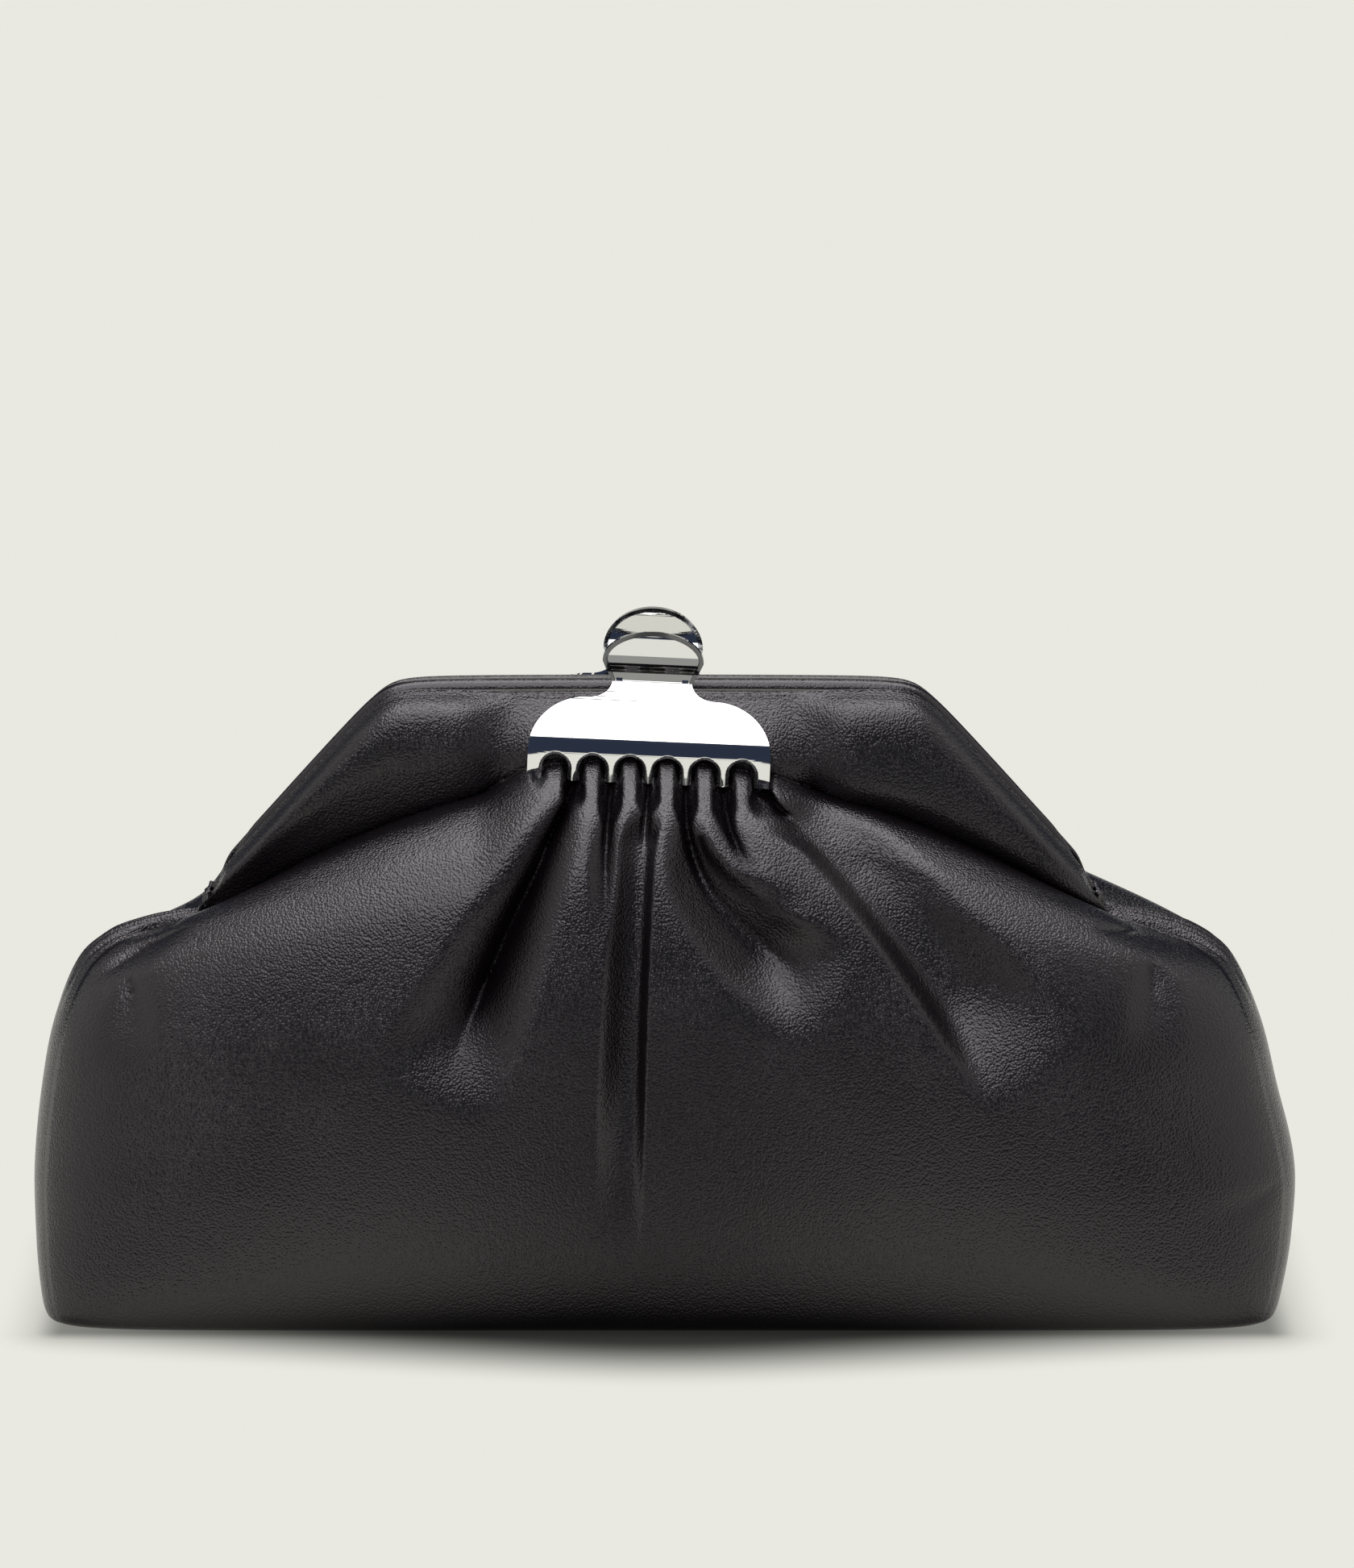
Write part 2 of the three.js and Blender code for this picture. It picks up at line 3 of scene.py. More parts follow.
import bmesh
import bpy
import numpy as np
from mathutils import Matrix, Vector


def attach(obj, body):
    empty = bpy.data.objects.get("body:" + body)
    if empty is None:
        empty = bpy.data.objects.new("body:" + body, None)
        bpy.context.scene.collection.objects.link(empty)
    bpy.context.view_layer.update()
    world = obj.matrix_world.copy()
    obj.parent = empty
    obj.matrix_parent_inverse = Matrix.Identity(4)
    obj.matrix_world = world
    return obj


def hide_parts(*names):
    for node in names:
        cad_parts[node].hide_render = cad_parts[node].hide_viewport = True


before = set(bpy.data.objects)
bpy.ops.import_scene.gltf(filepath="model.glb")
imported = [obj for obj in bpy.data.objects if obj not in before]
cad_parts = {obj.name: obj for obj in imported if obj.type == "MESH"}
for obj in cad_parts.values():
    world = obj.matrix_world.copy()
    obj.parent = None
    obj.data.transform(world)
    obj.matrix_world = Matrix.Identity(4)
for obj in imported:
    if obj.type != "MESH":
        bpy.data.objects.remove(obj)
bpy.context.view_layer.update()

# Base panel.
# The flat leather bottom that the bag stands on, cut with round corners from one stiffened piece.
# It lies just inside the lower edge of the walls and shows from below only.
MM = 0.001
BASE_HALF = (152.6, 42.2)
BASE_SHIFT = -1.2
BASE_SQUARE = 9.0
BASE_THICK = 2.0
BASE_POINTS = 120
BASE_EDGE = 0.5
SAME_HEIGHT = 1e-6
WARP_REACH = 0.0003
PORE_SHARE = 0.35


def group_socket(tree, name, direction, kind):
    tree.interface.new_socket(name=name, in_out=direction, socket_type=kind)


def link(tree, source, output, target, socket):
    tree.links.new(source.outputs[output], target.inputs[socket])


def add_node(tree, kind, **settings):
    node = tree.nodes.new(kind)
    for key, value in settings.items():
        if hasattr(node, key):
            setattr(node, key, value)
        else:
            node.inputs[key.replace("_", " ")].default_value = value
    return node


def leather_grain():
    """Pebbled hide: small uneven cells, finer pores in them, and slow changes from tight to smooth skin."""
    tree = bpy.data.node_groups.new("leather_grain", "ShaderNodeTree")
    group_socket(tree, "Place", "INPUT", "NodeSocketVector")
    group_socket(tree, "Cells", "INPUT", "NodeSocketFloat")
    group_socket(tree, "Height", "OUTPUT", "NodeSocketFloat")
    group_socket(tree, "Mottle", "OUTPUT", "NodeSocketFloat")
    given = add_node(tree, "NodeGroupInput")
    made = add_node(tree, "NodeGroupOutput")
    warp = add_node(tree, "ShaderNodeTexNoise", Scale=420.0, Detail=2.0)
    bend = add_node(tree, "ShaderNodeVectorMath", operation="MULTIPLY_ADD")
    bend.inputs[1].default_value = (WARP_REACH, WARP_REACH, WARP_REACH)
    cells = add_node(tree, "ShaderNodeTexVoronoi", feature="SMOOTH_F1", Smoothness=0.35)
    pores = add_node(tree, "ShaderNodeTexNoise", Scale=3600.0, Detail=2.0)
    skin = add_node(tree, "ShaderNodeTexNoise", Scale=38.0, Detail=3.0)
    tight = add_node(tree, "ShaderNodeMapRange", From_Min=0.36, From_Max=0.62, To_Min=0.75, To_Max=1.0)
    dome = add_node(tree, "ShaderNodeMath", operation="SUBTRACT")
    dome.inputs[0].default_value = 1.0
    fine = add_node(tree, "ShaderNodeMath", operation="MULTIPLY_ADD")
    fine.inputs[1].default_value = PORE_SHARE
    height = add_node(tree, "ShaderNodeMath", operation="MULTIPLY")
    link(tree, given, "Place", warp, "Vector")
    link(tree, warp, "Color", bend, 0)
    link(tree, given, "Place", bend, 2)
    link(tree, bend, "Vector", cells, "Vector")
    link(tree, given, "Cells", cells, "Scale")
    link(tree, given, "Place", pores, "Vector")
    link(tree, given, "Place", skin, "Vector")
    link(tree, skin, "Fac", tight, "Value")
    link(tree, cells, "Distance", dome, 1)
    link(tree, pores, "Fac", fine, 0)
    link(tree, dome, "Value", fine, 2)
    link(tree, fine, "Value", height, 0)
    link(tree, tight, "Result", height, 1)
    link(tree, height, "Value", made, "Height")
    link(tree, skin, "Fac", made, "Mottle")
    return tree


GRAIN = leather_grain()
HIDE_DARK = (0.0020, 0.0012, 0.0018, 1.0)
HIDE_LIGHT = (0.0040, 0.0026, 0.0036, 1.0)
HIDE_SHINE = (1.0, 0.95, 0.99, 1.0)
HIDE_IOR = 1.6
GRAIN_CELLS = 1600.0
# Specular level of the leather, and the much lower level where painted shade darkens the deep folds.
OPEN_SHINE = 0.5
PAINTED_SHADE_SHINE = 0.03


def nappa(name, relief=0.0002, rough=(0.22, 0.31)):
    """Black aniline nappa with a soft shine: near-black dye with a faint purple cast, and pebbled grain.

    Where a piece's crease attribute is above 0, the shine is turned down: painted shade in its deep folds.
    """
    material = bpy.data.materials.new(name)
    material.use_nodes = True
    tree = material.node_tree
    shader = tree.nodes["Principled BSDF"]
    shader.inputs["IOR"].default_value = HIDE_IOR
    shader.inputs["Specular Tint"].default_value = HIDE_SHINE
    place = add_node(tree, "ShaderNodeTexCoord")
    grain = add_node(tree, "ShaderNodeGroup", node_tree=GRAIN, Cells=GRAIN_CELLS)
    dye = add_node(tree, "ShaderNodeValToRGB")
    dye.color_ramp.elements[0].position = 0.3
    dye.color_ramp.elements[0].color = HIDE_DARK
    dye.color_ramp.elements[1].position = 0.7
    dye.color_ramp.elements[1].color = HIDE_LIGHT
    shine = add_node(tree, "ShaderNodeMapRange", From_Min=0.0, From_Max=1.2, To_Min=rough[1], To_Max=rough[0])
    bump = add_node(tree, "ShaderNodeBump", Strength=1.0, Distance=relief)
    # Painted shade: the panels' crease attribute turns the shine down along their deep folds.
    painted_crease_shade = add_node(tree, "ShaderNodeAttribute", attribute_name="painted_crease_shade")
    shine_under_painted_shade = add_node(tree, "ShaderNodeMapRange", To_Min=OPEN_SHINE, To_Max=PAINTED_SHADE_SHINE)
    link(tree, place, "Object", grain, "Place")
    link(tree, grain, "Mottle", dye, "Fac")
    link(tree, dye, "Color", shader, "Base Color")
    link(tree, painted_crease_shade, "Fac", shine_under_painted_shade, "Value")
    link(tree, shine_under_painted_shade, "Result", shader, "Specular IOR Level")
    link(tree, grain, "Height", shine, "Value")
    link(tree, shine, "Result", shader, "Roughness")
    link(tree, grain, "Height", bump, "Height")
    link(tree, bump, "Normal", shader, "Normal")
    return material


BODY_LEATHER = nappa("body_nappa")


def finished(bm, name, material, body, slot, *nodes):
    """Turns a bmesh into a smooth object that rides on its body and stands for the plain solids."""
    mesh = bpy.data.meshes.new(name)
    bm.to_mesh(mesh)
    bm.free()
    mesh.materials.append(material)
    mesh.shade_smooth()
    piece = bpy.data.objects.new(name, mesh)
    bpy.context.scene.collection.objects.link(piece)
    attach(piece, body)
    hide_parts(*nodes)
    return piece


def push_out(bm, faces, by):
    """Extrudes faces by a step."""
    pushed = bmesh.ops.extrude_face_region(bm, geom=faces)
    moved = [v for v in pushed["geom"] if isinstance(v, bmesh.types.BMVert)]
    bmesh.ops.translate(bm, vec=by, verts=moved)


def level_edges(bm):
    """Edges whose two ends are equally high."""
    return [e for e in bm.edges if abs(e.verts[0].co.z - e.verts[1].co.z) < SAME_HEIGHT]


def round_edges(bm, edges, radius, steps=3, clamp=False):
    bmesh.ops.bevel(
        bm, geom=edges, offset=radius, segments=steps, profile=0.5,
        affect="EDGES", material=-1, clamp_overlap=clamp,
    )


bm = bmesh.new()
bmesh.ops.create_circle(bm, cap_ends=True, segments=BASE_POINTS, radius=1.0)
for vert in bm.verts:
    power = 2.0 / BASE_SQUARE
    x = math.copysign(abs(vert.co.x) ** power, vert.co.x)
    y = math.copysign(abs(vert.co.y) ** power, vert.co.y)
    vert.co = Vector((BASE_SHIFT + BASE_HALF[0] * x, BASE_HALF[1] * y, 0.0)) * MM
push_out(bm, bm.faces[:], (0, 0, BASE_THICK * MM))
bmesh.ops.recalc_face_normals(bm, faces=bm.faces[:])
round_edges(bm, level_edges(bm), BASE_EDGE * MM)
base = finished(bm, "bag_base", BODY_LEATHER, "bag", "leather", "base_panel")

# Front and back panels.
# Two cut sheets of soft nappa, gathered at the top into the frame. The comb pinches each one into six
# fingers that fan out as folds over the full body below. Worked as a surface over level and width.
SKIN = 1.0

# The frame's edge and the gather line below it, by distance from the middle of the frame.
HINGE_REACH = 115.5
HINGE_HEIGHT = 98.0
FRAME_HEIGHT = 157.5
FRAME_FOOT = 103.5
FRAME_SLOPE = 1.12
FRAME_CORNER = 5.2
FRAME_DEPTH = 9.1
CLIP_ROLL = math.radians(2.5)
PLATE_HALF = 30.5
GATHER_RISE = 40.0
COMB_RISE = 4.2
COMB_BLEND = (PLATE_HALF - 3.5, PLATE_HALF + 14.0)
GROOVE_DIP = 4.5
GROOVE_START = (PLATE_HALF, PLATE_HALF + 12.0)
GROOVE_END = (96.0, 112.0)

# The yoke between the two: flat under the clip, rolled over where it is free, with a turned hem at the top.
YOKE_DEPTH = 17.0
YOKE_SWELL = 2.6
SWELL_POWER = 0.8
YOKE_ROLL = 8.0
ROLL_BLEND = 0.2
ROLL_LOST = 0.6
YOKE_TURN = (0.30, -0.20, 0.28)
YOKE_SAG = 4.0
SAG_SCALE = 8.36
SAG_POWERS = (0.7, 5)
YOKE_FREE = (PLATE_HALF + 2.0, PLATE_HALF + 20.0)
YOKE_CLOSES = (0.85, 1.0)
YOKE_END = 6.4
END_RISE = (0.9, 1.0)
YOKE_CORNER = 3.0
CORNER_SPAN = (0.93, 1.0)
YOKE_TUCK = 1.2
TUCK_SPAN = (0.98, 1.0)
HEM_ROUND = 1.1
HEM_LEVELS = 0.1
HEM_DIP = 1.6
HEM_DIP_REACH = (15.0, 70.0)

# The left back shoulder, which has sunk.
SLUMP = 4.0
SLUMP_RISE = (0.55, 0.85)
SLUMP_FALL = (1.0, 1.6)
SLUMP_LEFT = (108.0, 124.0)
SLUMP_BEHIND = (2.0, 14.0)

# The grid of each panel: rows by level, and columns closer together at the middle and at the seams.
FRONT_GRID = (290, 160)
BACK_GRID = (210, 110)
ROW_SHARES = (0.0, 0.5, 0.72, 0.97, 1.0)
ROW_LEVELS = (0.0, 0.84, 1.0, 2.0, 2.0 + HEM_LEVELS)
ROW_CROWD = 1.6
COLUMN_CROWD = (0.6, 0.9, -0.5)
PANEL_EDGE = 0.985
EDGE_CLOSES = (0.9, 1.02)

# Sections of the body from the base, level 0, up to the gather line, level 1.
BODY_COLUMNS = ("level", "side", "width", "shift", "depth", "square", "lift")
BODY = np.array((
    (0.00, 0.0, 153.8, -1.2, 43.4, 11.0, 0.00),
    (0.03, 1.8, 156.0, -1.2, 47.5, 10.0, 0.00),
    (0.08, 7.0, 157.9, -1.0, 50.5, 7.5, 0.02),
    (0.18, 20.0, 160.2, -0.4, 53.5, 5.0, 0.06),
    (0.30, 36.0, 161.0, -0.2, 55.0, 3.8, 0.14),
    (0.45, 55.0, 157.9, -1.5, 54.5, 3.2, 0.28),
    (0.60, 72.0, 154.0, -2.0, 52.0, 3.0, 0.46),
    (0.75, 86.0, 147.4, -2.4, 46.5, 2.8, 0.66),
    (0.86, 92.5, 139.0, -2.8, 38.8, 2.7, 0.82),
    (0.93, 95.6, 130.0, -3.0, 30.8, 2.8, 0.92),
    (0.97, 97.2, 122.5, -3.1, 24.2, 2.9, 0.97),
    (1.00, 98.0, 115.5, -3.1, 17.0, 3.0, 1.00),
))

# Valleys between the folds, each along a bent line down the panel. The stem is a straight stretch above it,
# between two teeth, and the slit how far down the leather is pinched shut. Hold is the share of the way that
# keeps its full depth, left and right scale the width of each flank, crease is how sharp the bottom stays,
# and edge names the flank with a sharp lip: 1 the right one, -1 the left one, 0 neither.
FOLD_COLUMNS = (
    "from_x", "from_z", "via_x", "via_z", "to_x", "to_z",
    "stem", "slit", "wide", "wide_end", "deep", "hold", "left", "right", "crease", "edge",
)
FRONT_FOLDS = (
    (-32.6, 139.5, -43, 134, -53, 122, 7, 2, 4.4, 8, 1.0, 0.1, 1.2, 1.0, 0.4, 0),
    (-23.0, 135.5, -31, 122, -58, 60, 10, 34, 4.5, 20, 15, 0.7, 1.0, 0.9, 0.85, 0),
    (-13.6, 135, -16, 118, -14, 96, 10, 14, 4.5, 5, 6, 0.2, 1.0, 1.0, 0.5, 0),
    (-4.2, 135, -7.5, 108, -9.5, 16, 10, 22, 4.5, 6, 10, 0.6, 1.6, 0.6, 0.0, 1),
    (5.2, 134.5, 3, 108, 44, 87, 10, 30, 4.5, 13, 11, 0.7, 1.2, 1.2, 0.35, 0),
    (14.6, 134, 15, 125, 24, 117, 10, 16, 4.5, 6, 5, 0.2, 1.0, 1.0, 0.6, 0),
    (9.0, 126, 13, 112, 36, 106, 0, 0, 3, 7, 7, 0.5, 1.0, 1.2, 0.6, 0),
    (24.1, 133.5, 50, 119, 87, 61, 10, 14, 4.5, 17, 10, 0.76, 0.4, 1.6, 0.0, -1),
)
BACK_FOLDS = (
    (-32.6, 136, -40, 128, -62, 112, 10, 14, 4.5, 11, 8, 0.1, 1.2, 1.0, 0.5, 0),
    (-23.0, 135.5, -28, 112, -50, 72, 10, 30, 4.5, 13, 10, 0.3, 1.2, 1.0, 0.5, 0),
    (-13.6, 135, -16, 110, -23, 76, 10, 30, 4.5, 8, 8, 0.2, 1.0, 1.0, 0.6, 0),
    (-4.2, 135, -5, 104, -2, 46, 10, 30, 4.5, 9, 9, 0.4, 1.0, 1.0, 0.4, 0),
    (5.2, 134.5, 7, 110, 18, 72, 10, 30, 4.5, 8, 8, 0.2, 1.0, 1.0, 0.6, 0),
    (14.6, 134, 20, 112, 44, 76, 10, 30, 4.5, 12, 10, 0.3, 1.0, 1.2, 0.5, 0),
    (24.1, 133.5, 31, 125, 57, 108, 10, 14, 4.5, 12, 8, 0.1, 1.0, 1.2, 0.5, 0),
)
SIDE_FOLDS = (
    (-118, 101, -133, 98, -149, 82, 0, 0, 3, 6, 5.5, 0.5, 0.7, 1.5, 0.8, 0),
    (-137, 93, -130, 82, -135, 60, 0, 0, 6, 9, 3.4, 0.1, 1.3, 0.8, 0.2, 0),
    (106, 101, 124, 101, 145, 89, 0, 0, 3, 6, 5.5, 0.5, 1.5, 0.7, 0.8, 0),
    (121, 95, 124, 85, 118, 66, 0, 0, 6, 9, 3.4, 0.1, 0.8, 1.3, 0.2, 0),
    (158, 36, 148, 32, 128, 29, 0, 0, 3, 9, 1.6, 0.1, 0.8, 1.2, 0.5, 0),
)
FOLD_STEPS = 24
FOLDS_END = (0.86, 0.94)
FOLD_FLOOR = 0.7
FOLD_BLEND = 1.0
FOLD_STEEPEST = 1.05
BOWL_POWER = 2.4
SOFT_LIP = 1.7
SHARP_LIP = 1.0
FOLD_START = 0.3
SPREAD_RUN = (2.0, 24.0)
CREASE_RUN = (4.0, 20.0)
CREASE_ENDS = (0.7, 1.0)
SLIT_WIDE = 1.9
SLIT_DEEP = 10.0
SLIT_RUN = (1.0, 9.0)
SLIT_BLEND = 1.2
SLIT_KEEPS = 0.2
# Which folds get painted shade along their crease lines, and how far from the line it reaches.
PAINTED_SHADE_DEEP = 4.0
PAINTED_SHADE_START = 0.1
PAINTED_SHADE_END = (0.3, 0.5)
DENT_BACK = 0.8
DENT_DOWN = 0.55
DENT_RISE = (0.3, 0.5)


def smooth(value, low, high):
    share = np.clip((value - low) / (high - low), 0.0, 1.0)
    return share * share * (3.0 - 2.0 * share)


def soft_min(one, other, blend):
    return 0.5 * (one + other - np.hypot(one - other, blend))


def soft_max(one, other, blend):
    return 0.5 * (one + other + np.hypot(one - other, blend))


def section(level, column):
    """One column of the body table at any level, as a smooth curve through its rows."""
    at = BODY[:, 0]
    value = BODY[:, BODY_COLUMNS.index(column)]
    slope = np.empty(len(at))
    slope[1:-1] = (value[2:] - value[:-2]) / (at[2:] - at[:-2])
    slope[0] = (value[1] - value[0]) / (at[1] - at[0])
    slope[-1] = (value[-1] - value[-2]) / (at[-1] - at[-2])
    row = np.clip(np.searchsorted(at, level) - 1, 0, len(at) - 2)
    span = at[row + 1] - at[row]
    t = np.clip((level - at[row]) / span, 0.0, 1.0)
    rise = value[row] * (1 + 2 * t) * (1 - t) ** 2 + value[row + 1] * t * t * (3 - 2 * t)
    return rise + span * (slope[row] * t * (1 - t) ** 2 - slope[row + 1] * t * t * (1 - t))


def gather_height(reach):
    """Height of the gather line, which rises to the middle and is level with the comb there."""
    share = np.clip(np.abs(reach) / HINGE_REACH, 0.0, 1.0)
    comb = 1 - smooth(np.abs(reach), *COMB_BLEND)
    roll = reach * math.tan(CLIP_ROLL)
    return HINGE_HEIGHT + GATHER_RISE * (1 - share * share) + (COMB_RISE - roll) * comb


def frame_height(reach):
    """Height of the frame's edge: level on top, sloping down to the hinges."""
    slope = FRAME_FOOT + (HINGE_REACH - np.abs(reach)) * FRAME_SLOPE
    return soft_min(FRAME_HEIGHT, slope, FRAME_CORNER)


def gather_depth(across):
    """How far the gather line stands out from the middle plane, less in the groove beside the clip."""
    reach = np.abs(across) * HINGE_REACH
    beside = smooth(reach, *GROOVE_START) * (1 - smooth(reach, *GROOVE_END))
    return YOKE_DEPTH * np.cbrt(1 - np.abs(across) ** 3) - GROOVE_DIP * beside


def on_fold(fold, x, z):
    """Nearest place on a fold's bent line: how far off it is, how far along, and on which side."""
    px, pz = fold["from_x"], fold["from_z"]
    above = np.clip(z - pz, 0.0, fold["stem"])
    far = np.hypot(x - px, z - pz - above)
    along = np.zeros_like(x)
    side = np.sign(px - x)
    for step in range(1, FOLD_STEPS + 1):
        t = step / FOLD_STEPS
        nx = (1 - t) ** 2 * fold["from_x"] + 2 * t * (1 - t) * fold["via_x"] + t * t * fold["to_x"]
        nz = (1 - t) ** 2 * fold["from_z"] + 2 * t * (1 - t) * fold["via_z"] + t * t * fold["to_z"]
        dx, dz = nx - px, nz - pz
        s = np.clip(((x - px) * dx + (z - pz) * dz) / (dx * dx + dz * dz), 0.0, 1.0)
        ox, oz = x - px - s * dx, z - pz - s * dz
        near = np.hypot(ox, oz)
        nearer = near < far
        far = np.where(nearer, near, far)
        along = np.where(nearer, (step - 1 + s) / FOLD_STEPS, along)
        side = np.where(nearer, np.sign(ox * dz - oz * dx), side)
        px, pz = nx, nz
    return far, along, side


def fold_length(fold):
    return math.hypot(fold["to_x"] - fold["from_x"], fold["to_z"] - fold["from_z"])


def creased(fold, along, run):
    """How sharp a valley is at its bottom: 1 between the teeth, and out at its lower end."""
    return (1 + (fold["crease"] - 1) * smooth(run, *CREASE_RUN)) * (1 - smooth(along, *CREASE_ENDS))


def fold_depth(folds, x, z):
    """Depth of all the valleys together: round flanks that meet in a slit at the teeth, softer lower down."""
    total = np.zeros_like(x)
    for row in folds:
        fold = dict(zip(FOLD_COLUMNS, row))
        far, along, side = on_fold(fold, x, z)
        run = along * fold_length(fold)
        lean = np.where(side > 0, fold["left"], fold["right"]) - 1
        half = fold["wide"] + (fold["wide_end"] - fold["wide"]) * along
        deep = np.minimum(fold["deep"], FOLD_STEEPEST * half)
        share = np.clip(far / (half * (1 + lean * smooth(run, *SPREAD_RUN))), 0.0, 1.0)
        bowl = (1 - share ** BOWL_POWER) ** np.where(side * fold["edge"] < 0, SHARP_LIP, SOFT_LIP)
        crease = 1 - np.sqrt(1 - (1 - share) ** 2)
        fade = 1 - smooth(along, fold["hold"], 1.0)
        depth = deep * fade * (bowl + (crease - bowl) * creased(fold, along, run))
        if fold["stem"] > 0:
            slit = SLIT_WIDE * (1 - smooth(run, *SLIT_RUN))
            narrow = 1 - smooth(far, slit, slit + SLIT_BLEND)
            depth = depth + SLIT_DEEP * narrow * (1 - smooth(run, SLIT_KEEPS * fold["slit"], fold["slit"]))
        else:
            depth = depth * smooth(along, 0.0, FOLD_START)
        total += depth ** 3
    return np.cbrt(total)


def painted_fold_shade(folds, x, z):
    """Painted shade for the deep folds: 1 on a line where two folds touch and no light gets in, 0 away from
    it.
    """
    nearest = np.zeros_like(x)
    for row in folds:
        fold = dict(zip(FOLD_COLUMNS, row))
        far, along, _ = on_fold(fold, x, z)
        half = fold["wide"] + (fold["wide_end"] - fold["wide"]) * along
        tight = creased(fold, along, along * fold_length(fold)) * (fold["deep"] > PAINTED_SHADE_DEEP)
        shut = (PAINTED_SHADE_END[0] + PAINTED_SHADE_END[1] * fold["crease"]) * half
        nearest = np.maximum(nearest, tight * (1 - smooth(far, PAINTED_SHADE_START * half, shut)))
    return nearest


def slump(x, y, level):
    """How far the left back shoulder has sunk."""
    high = smooth(level, *SLUMP_RISE) * (1 - smooth(level, *SLUMP_FALL))
    return SLUMP * smooth(-x, *SLUMP_LEFT) * smooth(y, *SLUMP_BEHIND) * high


def body_part(side, across, level, x, ground, folds):
    """Depth and height of a panel up to the gather line, with its folds and, in front, the shoulder dents."""
    up = np.minimum(level, 1.0)
    square = section(up, "square")
    round_off = np.clip(1 - (np.abs(x) / section(up, "width")) ** square, 0.0, 1.0) ** (1 / square)
    full = np.maximum(section(up, "depth") * round_off, ground)
    at_x = section(up, "shift") + x
    z = section(up, "side") + section(up, "lift") * (gather_height(across * HINGE_REACH) - HINGE_HEIGHT)
    flat = 1 - smooth(np.abs(across), *FOLDS_END)
    cut = full - flat * fold_depth(folds, at_x, z)
    y = soft_max(cut, np.minimum(ground - FOLD_FLOOR, full), FOLD_BLEND)
    if side < 0:
        dent = fold_depth(SIDE_FOLDS, at_x, z)
        y = y - DENT_BACK * dent
        z = z - DENT_DOWN * dent * smooth(level, *DENT_RISE)
    return y, z


def yoke_part(side, across, level, ground):
    """Depth and height of a panel above the gather line: pressed flat by the clip, rolled over beside it."""
    reach = across * HINGE_REACH
    span = np.abs(across)
    t = np.clip(level - 1.0, 0.0, 1.0)
    edge = FRAME_DEPTH - (FRAME_DEPTH - YOKE_END) * span ** 10
    free = smooth(np.abs(reach), *YOKE_FREE)
    closes = smooth(span, *YOKE_CLOSES)
    pressed = YOKE_SWELL * np.sin(np.pi * t ** SWELL_POWER)
    turn = YOKE_TURN[0] + YOKE_TURN[1] * across + YOKE_TURN[2] * across * across
    over = np.sqrt(1 - np.clip((t - turn) / (1 - turn), 0.0, 1.0) ** 4)
    rolled = YOKE_ROLL * soft_min(t / turn, over, ROLL_BLEND) * (1 - ROLL_LOST * closes)
    dip = HEM_DIP * (1 - smooth(np.abs(reach), *HEM_DIP_REACH)) * (side < 0)
    sag = SAG_SCALE * YOKE_SAG * t ** SAG_POWERS[0] * (1 - t) ** SAG_POWERS[1] * free * (1 - closes)
    gather = gather_height(reach)
    z = gather + (frame_height(reach) - dip - gather) * t - sag
    y = ground + (edge - ground) * t + pressed + (rolled - pressed) * free
    hem = np.clip((level - 2.0) / HEM_LEVELS, 0.0, 1.0) * np.pi
    return y - HEM_ROUND * (1 - np.cos(hem)), z + HEM_ROUND * np.sin(hem)


def panel_place(side, across, level, folds):
    """Places on the outside of the front (side -1) or back (side 1); levels above 1 are the yoke."""
    span = np.abs(across)
    up = np.minimum(level, 1.0)
    t = np.clip(level - 1.0, 0.0, 1.0)
    x = across * HINGE_REACH + (section(up, "width") - HINGE_REACH) * across ** 3
    ground = np.maximum(gather_depth(across), YOKE_END * smooth(level, *END_RISE))
    low_y, low_z = body_part(side, across, level, x, ground, folds)
    top_y, top_z = yoke_part(side, across, level, ground)
    corner = np.clip(2 * t - 1, 0.0, 1.0) ** 2 * smooth(span, *CORNER_SPAN)
    at_x = section(up, "shift") + x - np.sign(x) * YOKE_CORNER * corner
    y = side * (np.where(level > 1, top_y, low_y) - YOKE_TUCK * t * smooth(span, *TUCK_SPAN))
    z = np.where(level > 1, top_z, low_z)
    return np.stack((at_x, y, z - slump(at_x, y, level)), axis=1)


def sheet_mesh(grid, place, turned):
    """A grid of leather moved onto a surface; place takes shares from -1 to 1 across and 0 to 1 up."""
    bm = bmesh.new()
    bmesh.ops.create_grid(bm, x_segments=grid[0], y_segments=grid[1], size=1.0)
    share = np.array([v.co[:2] for v in bm.verts])
    spots = place(share[:, 0], 0.5 * (share[:, 1] + 1.0)) * MM
    for vert, spot in zip(bm.verts, spots):
        vert.co = spot
    if turned:
        bmesh.ops.reverse_faces(bm, faces=bm.faces[:])
    return bm


def skin(piece):
    """Gives a sheet its thickness, inwards."""
    wall = piece.modifiers.new("skin", "SOLIDIFY")
    wall.thickness = SKIN * MM
    wall.offset = -1.0


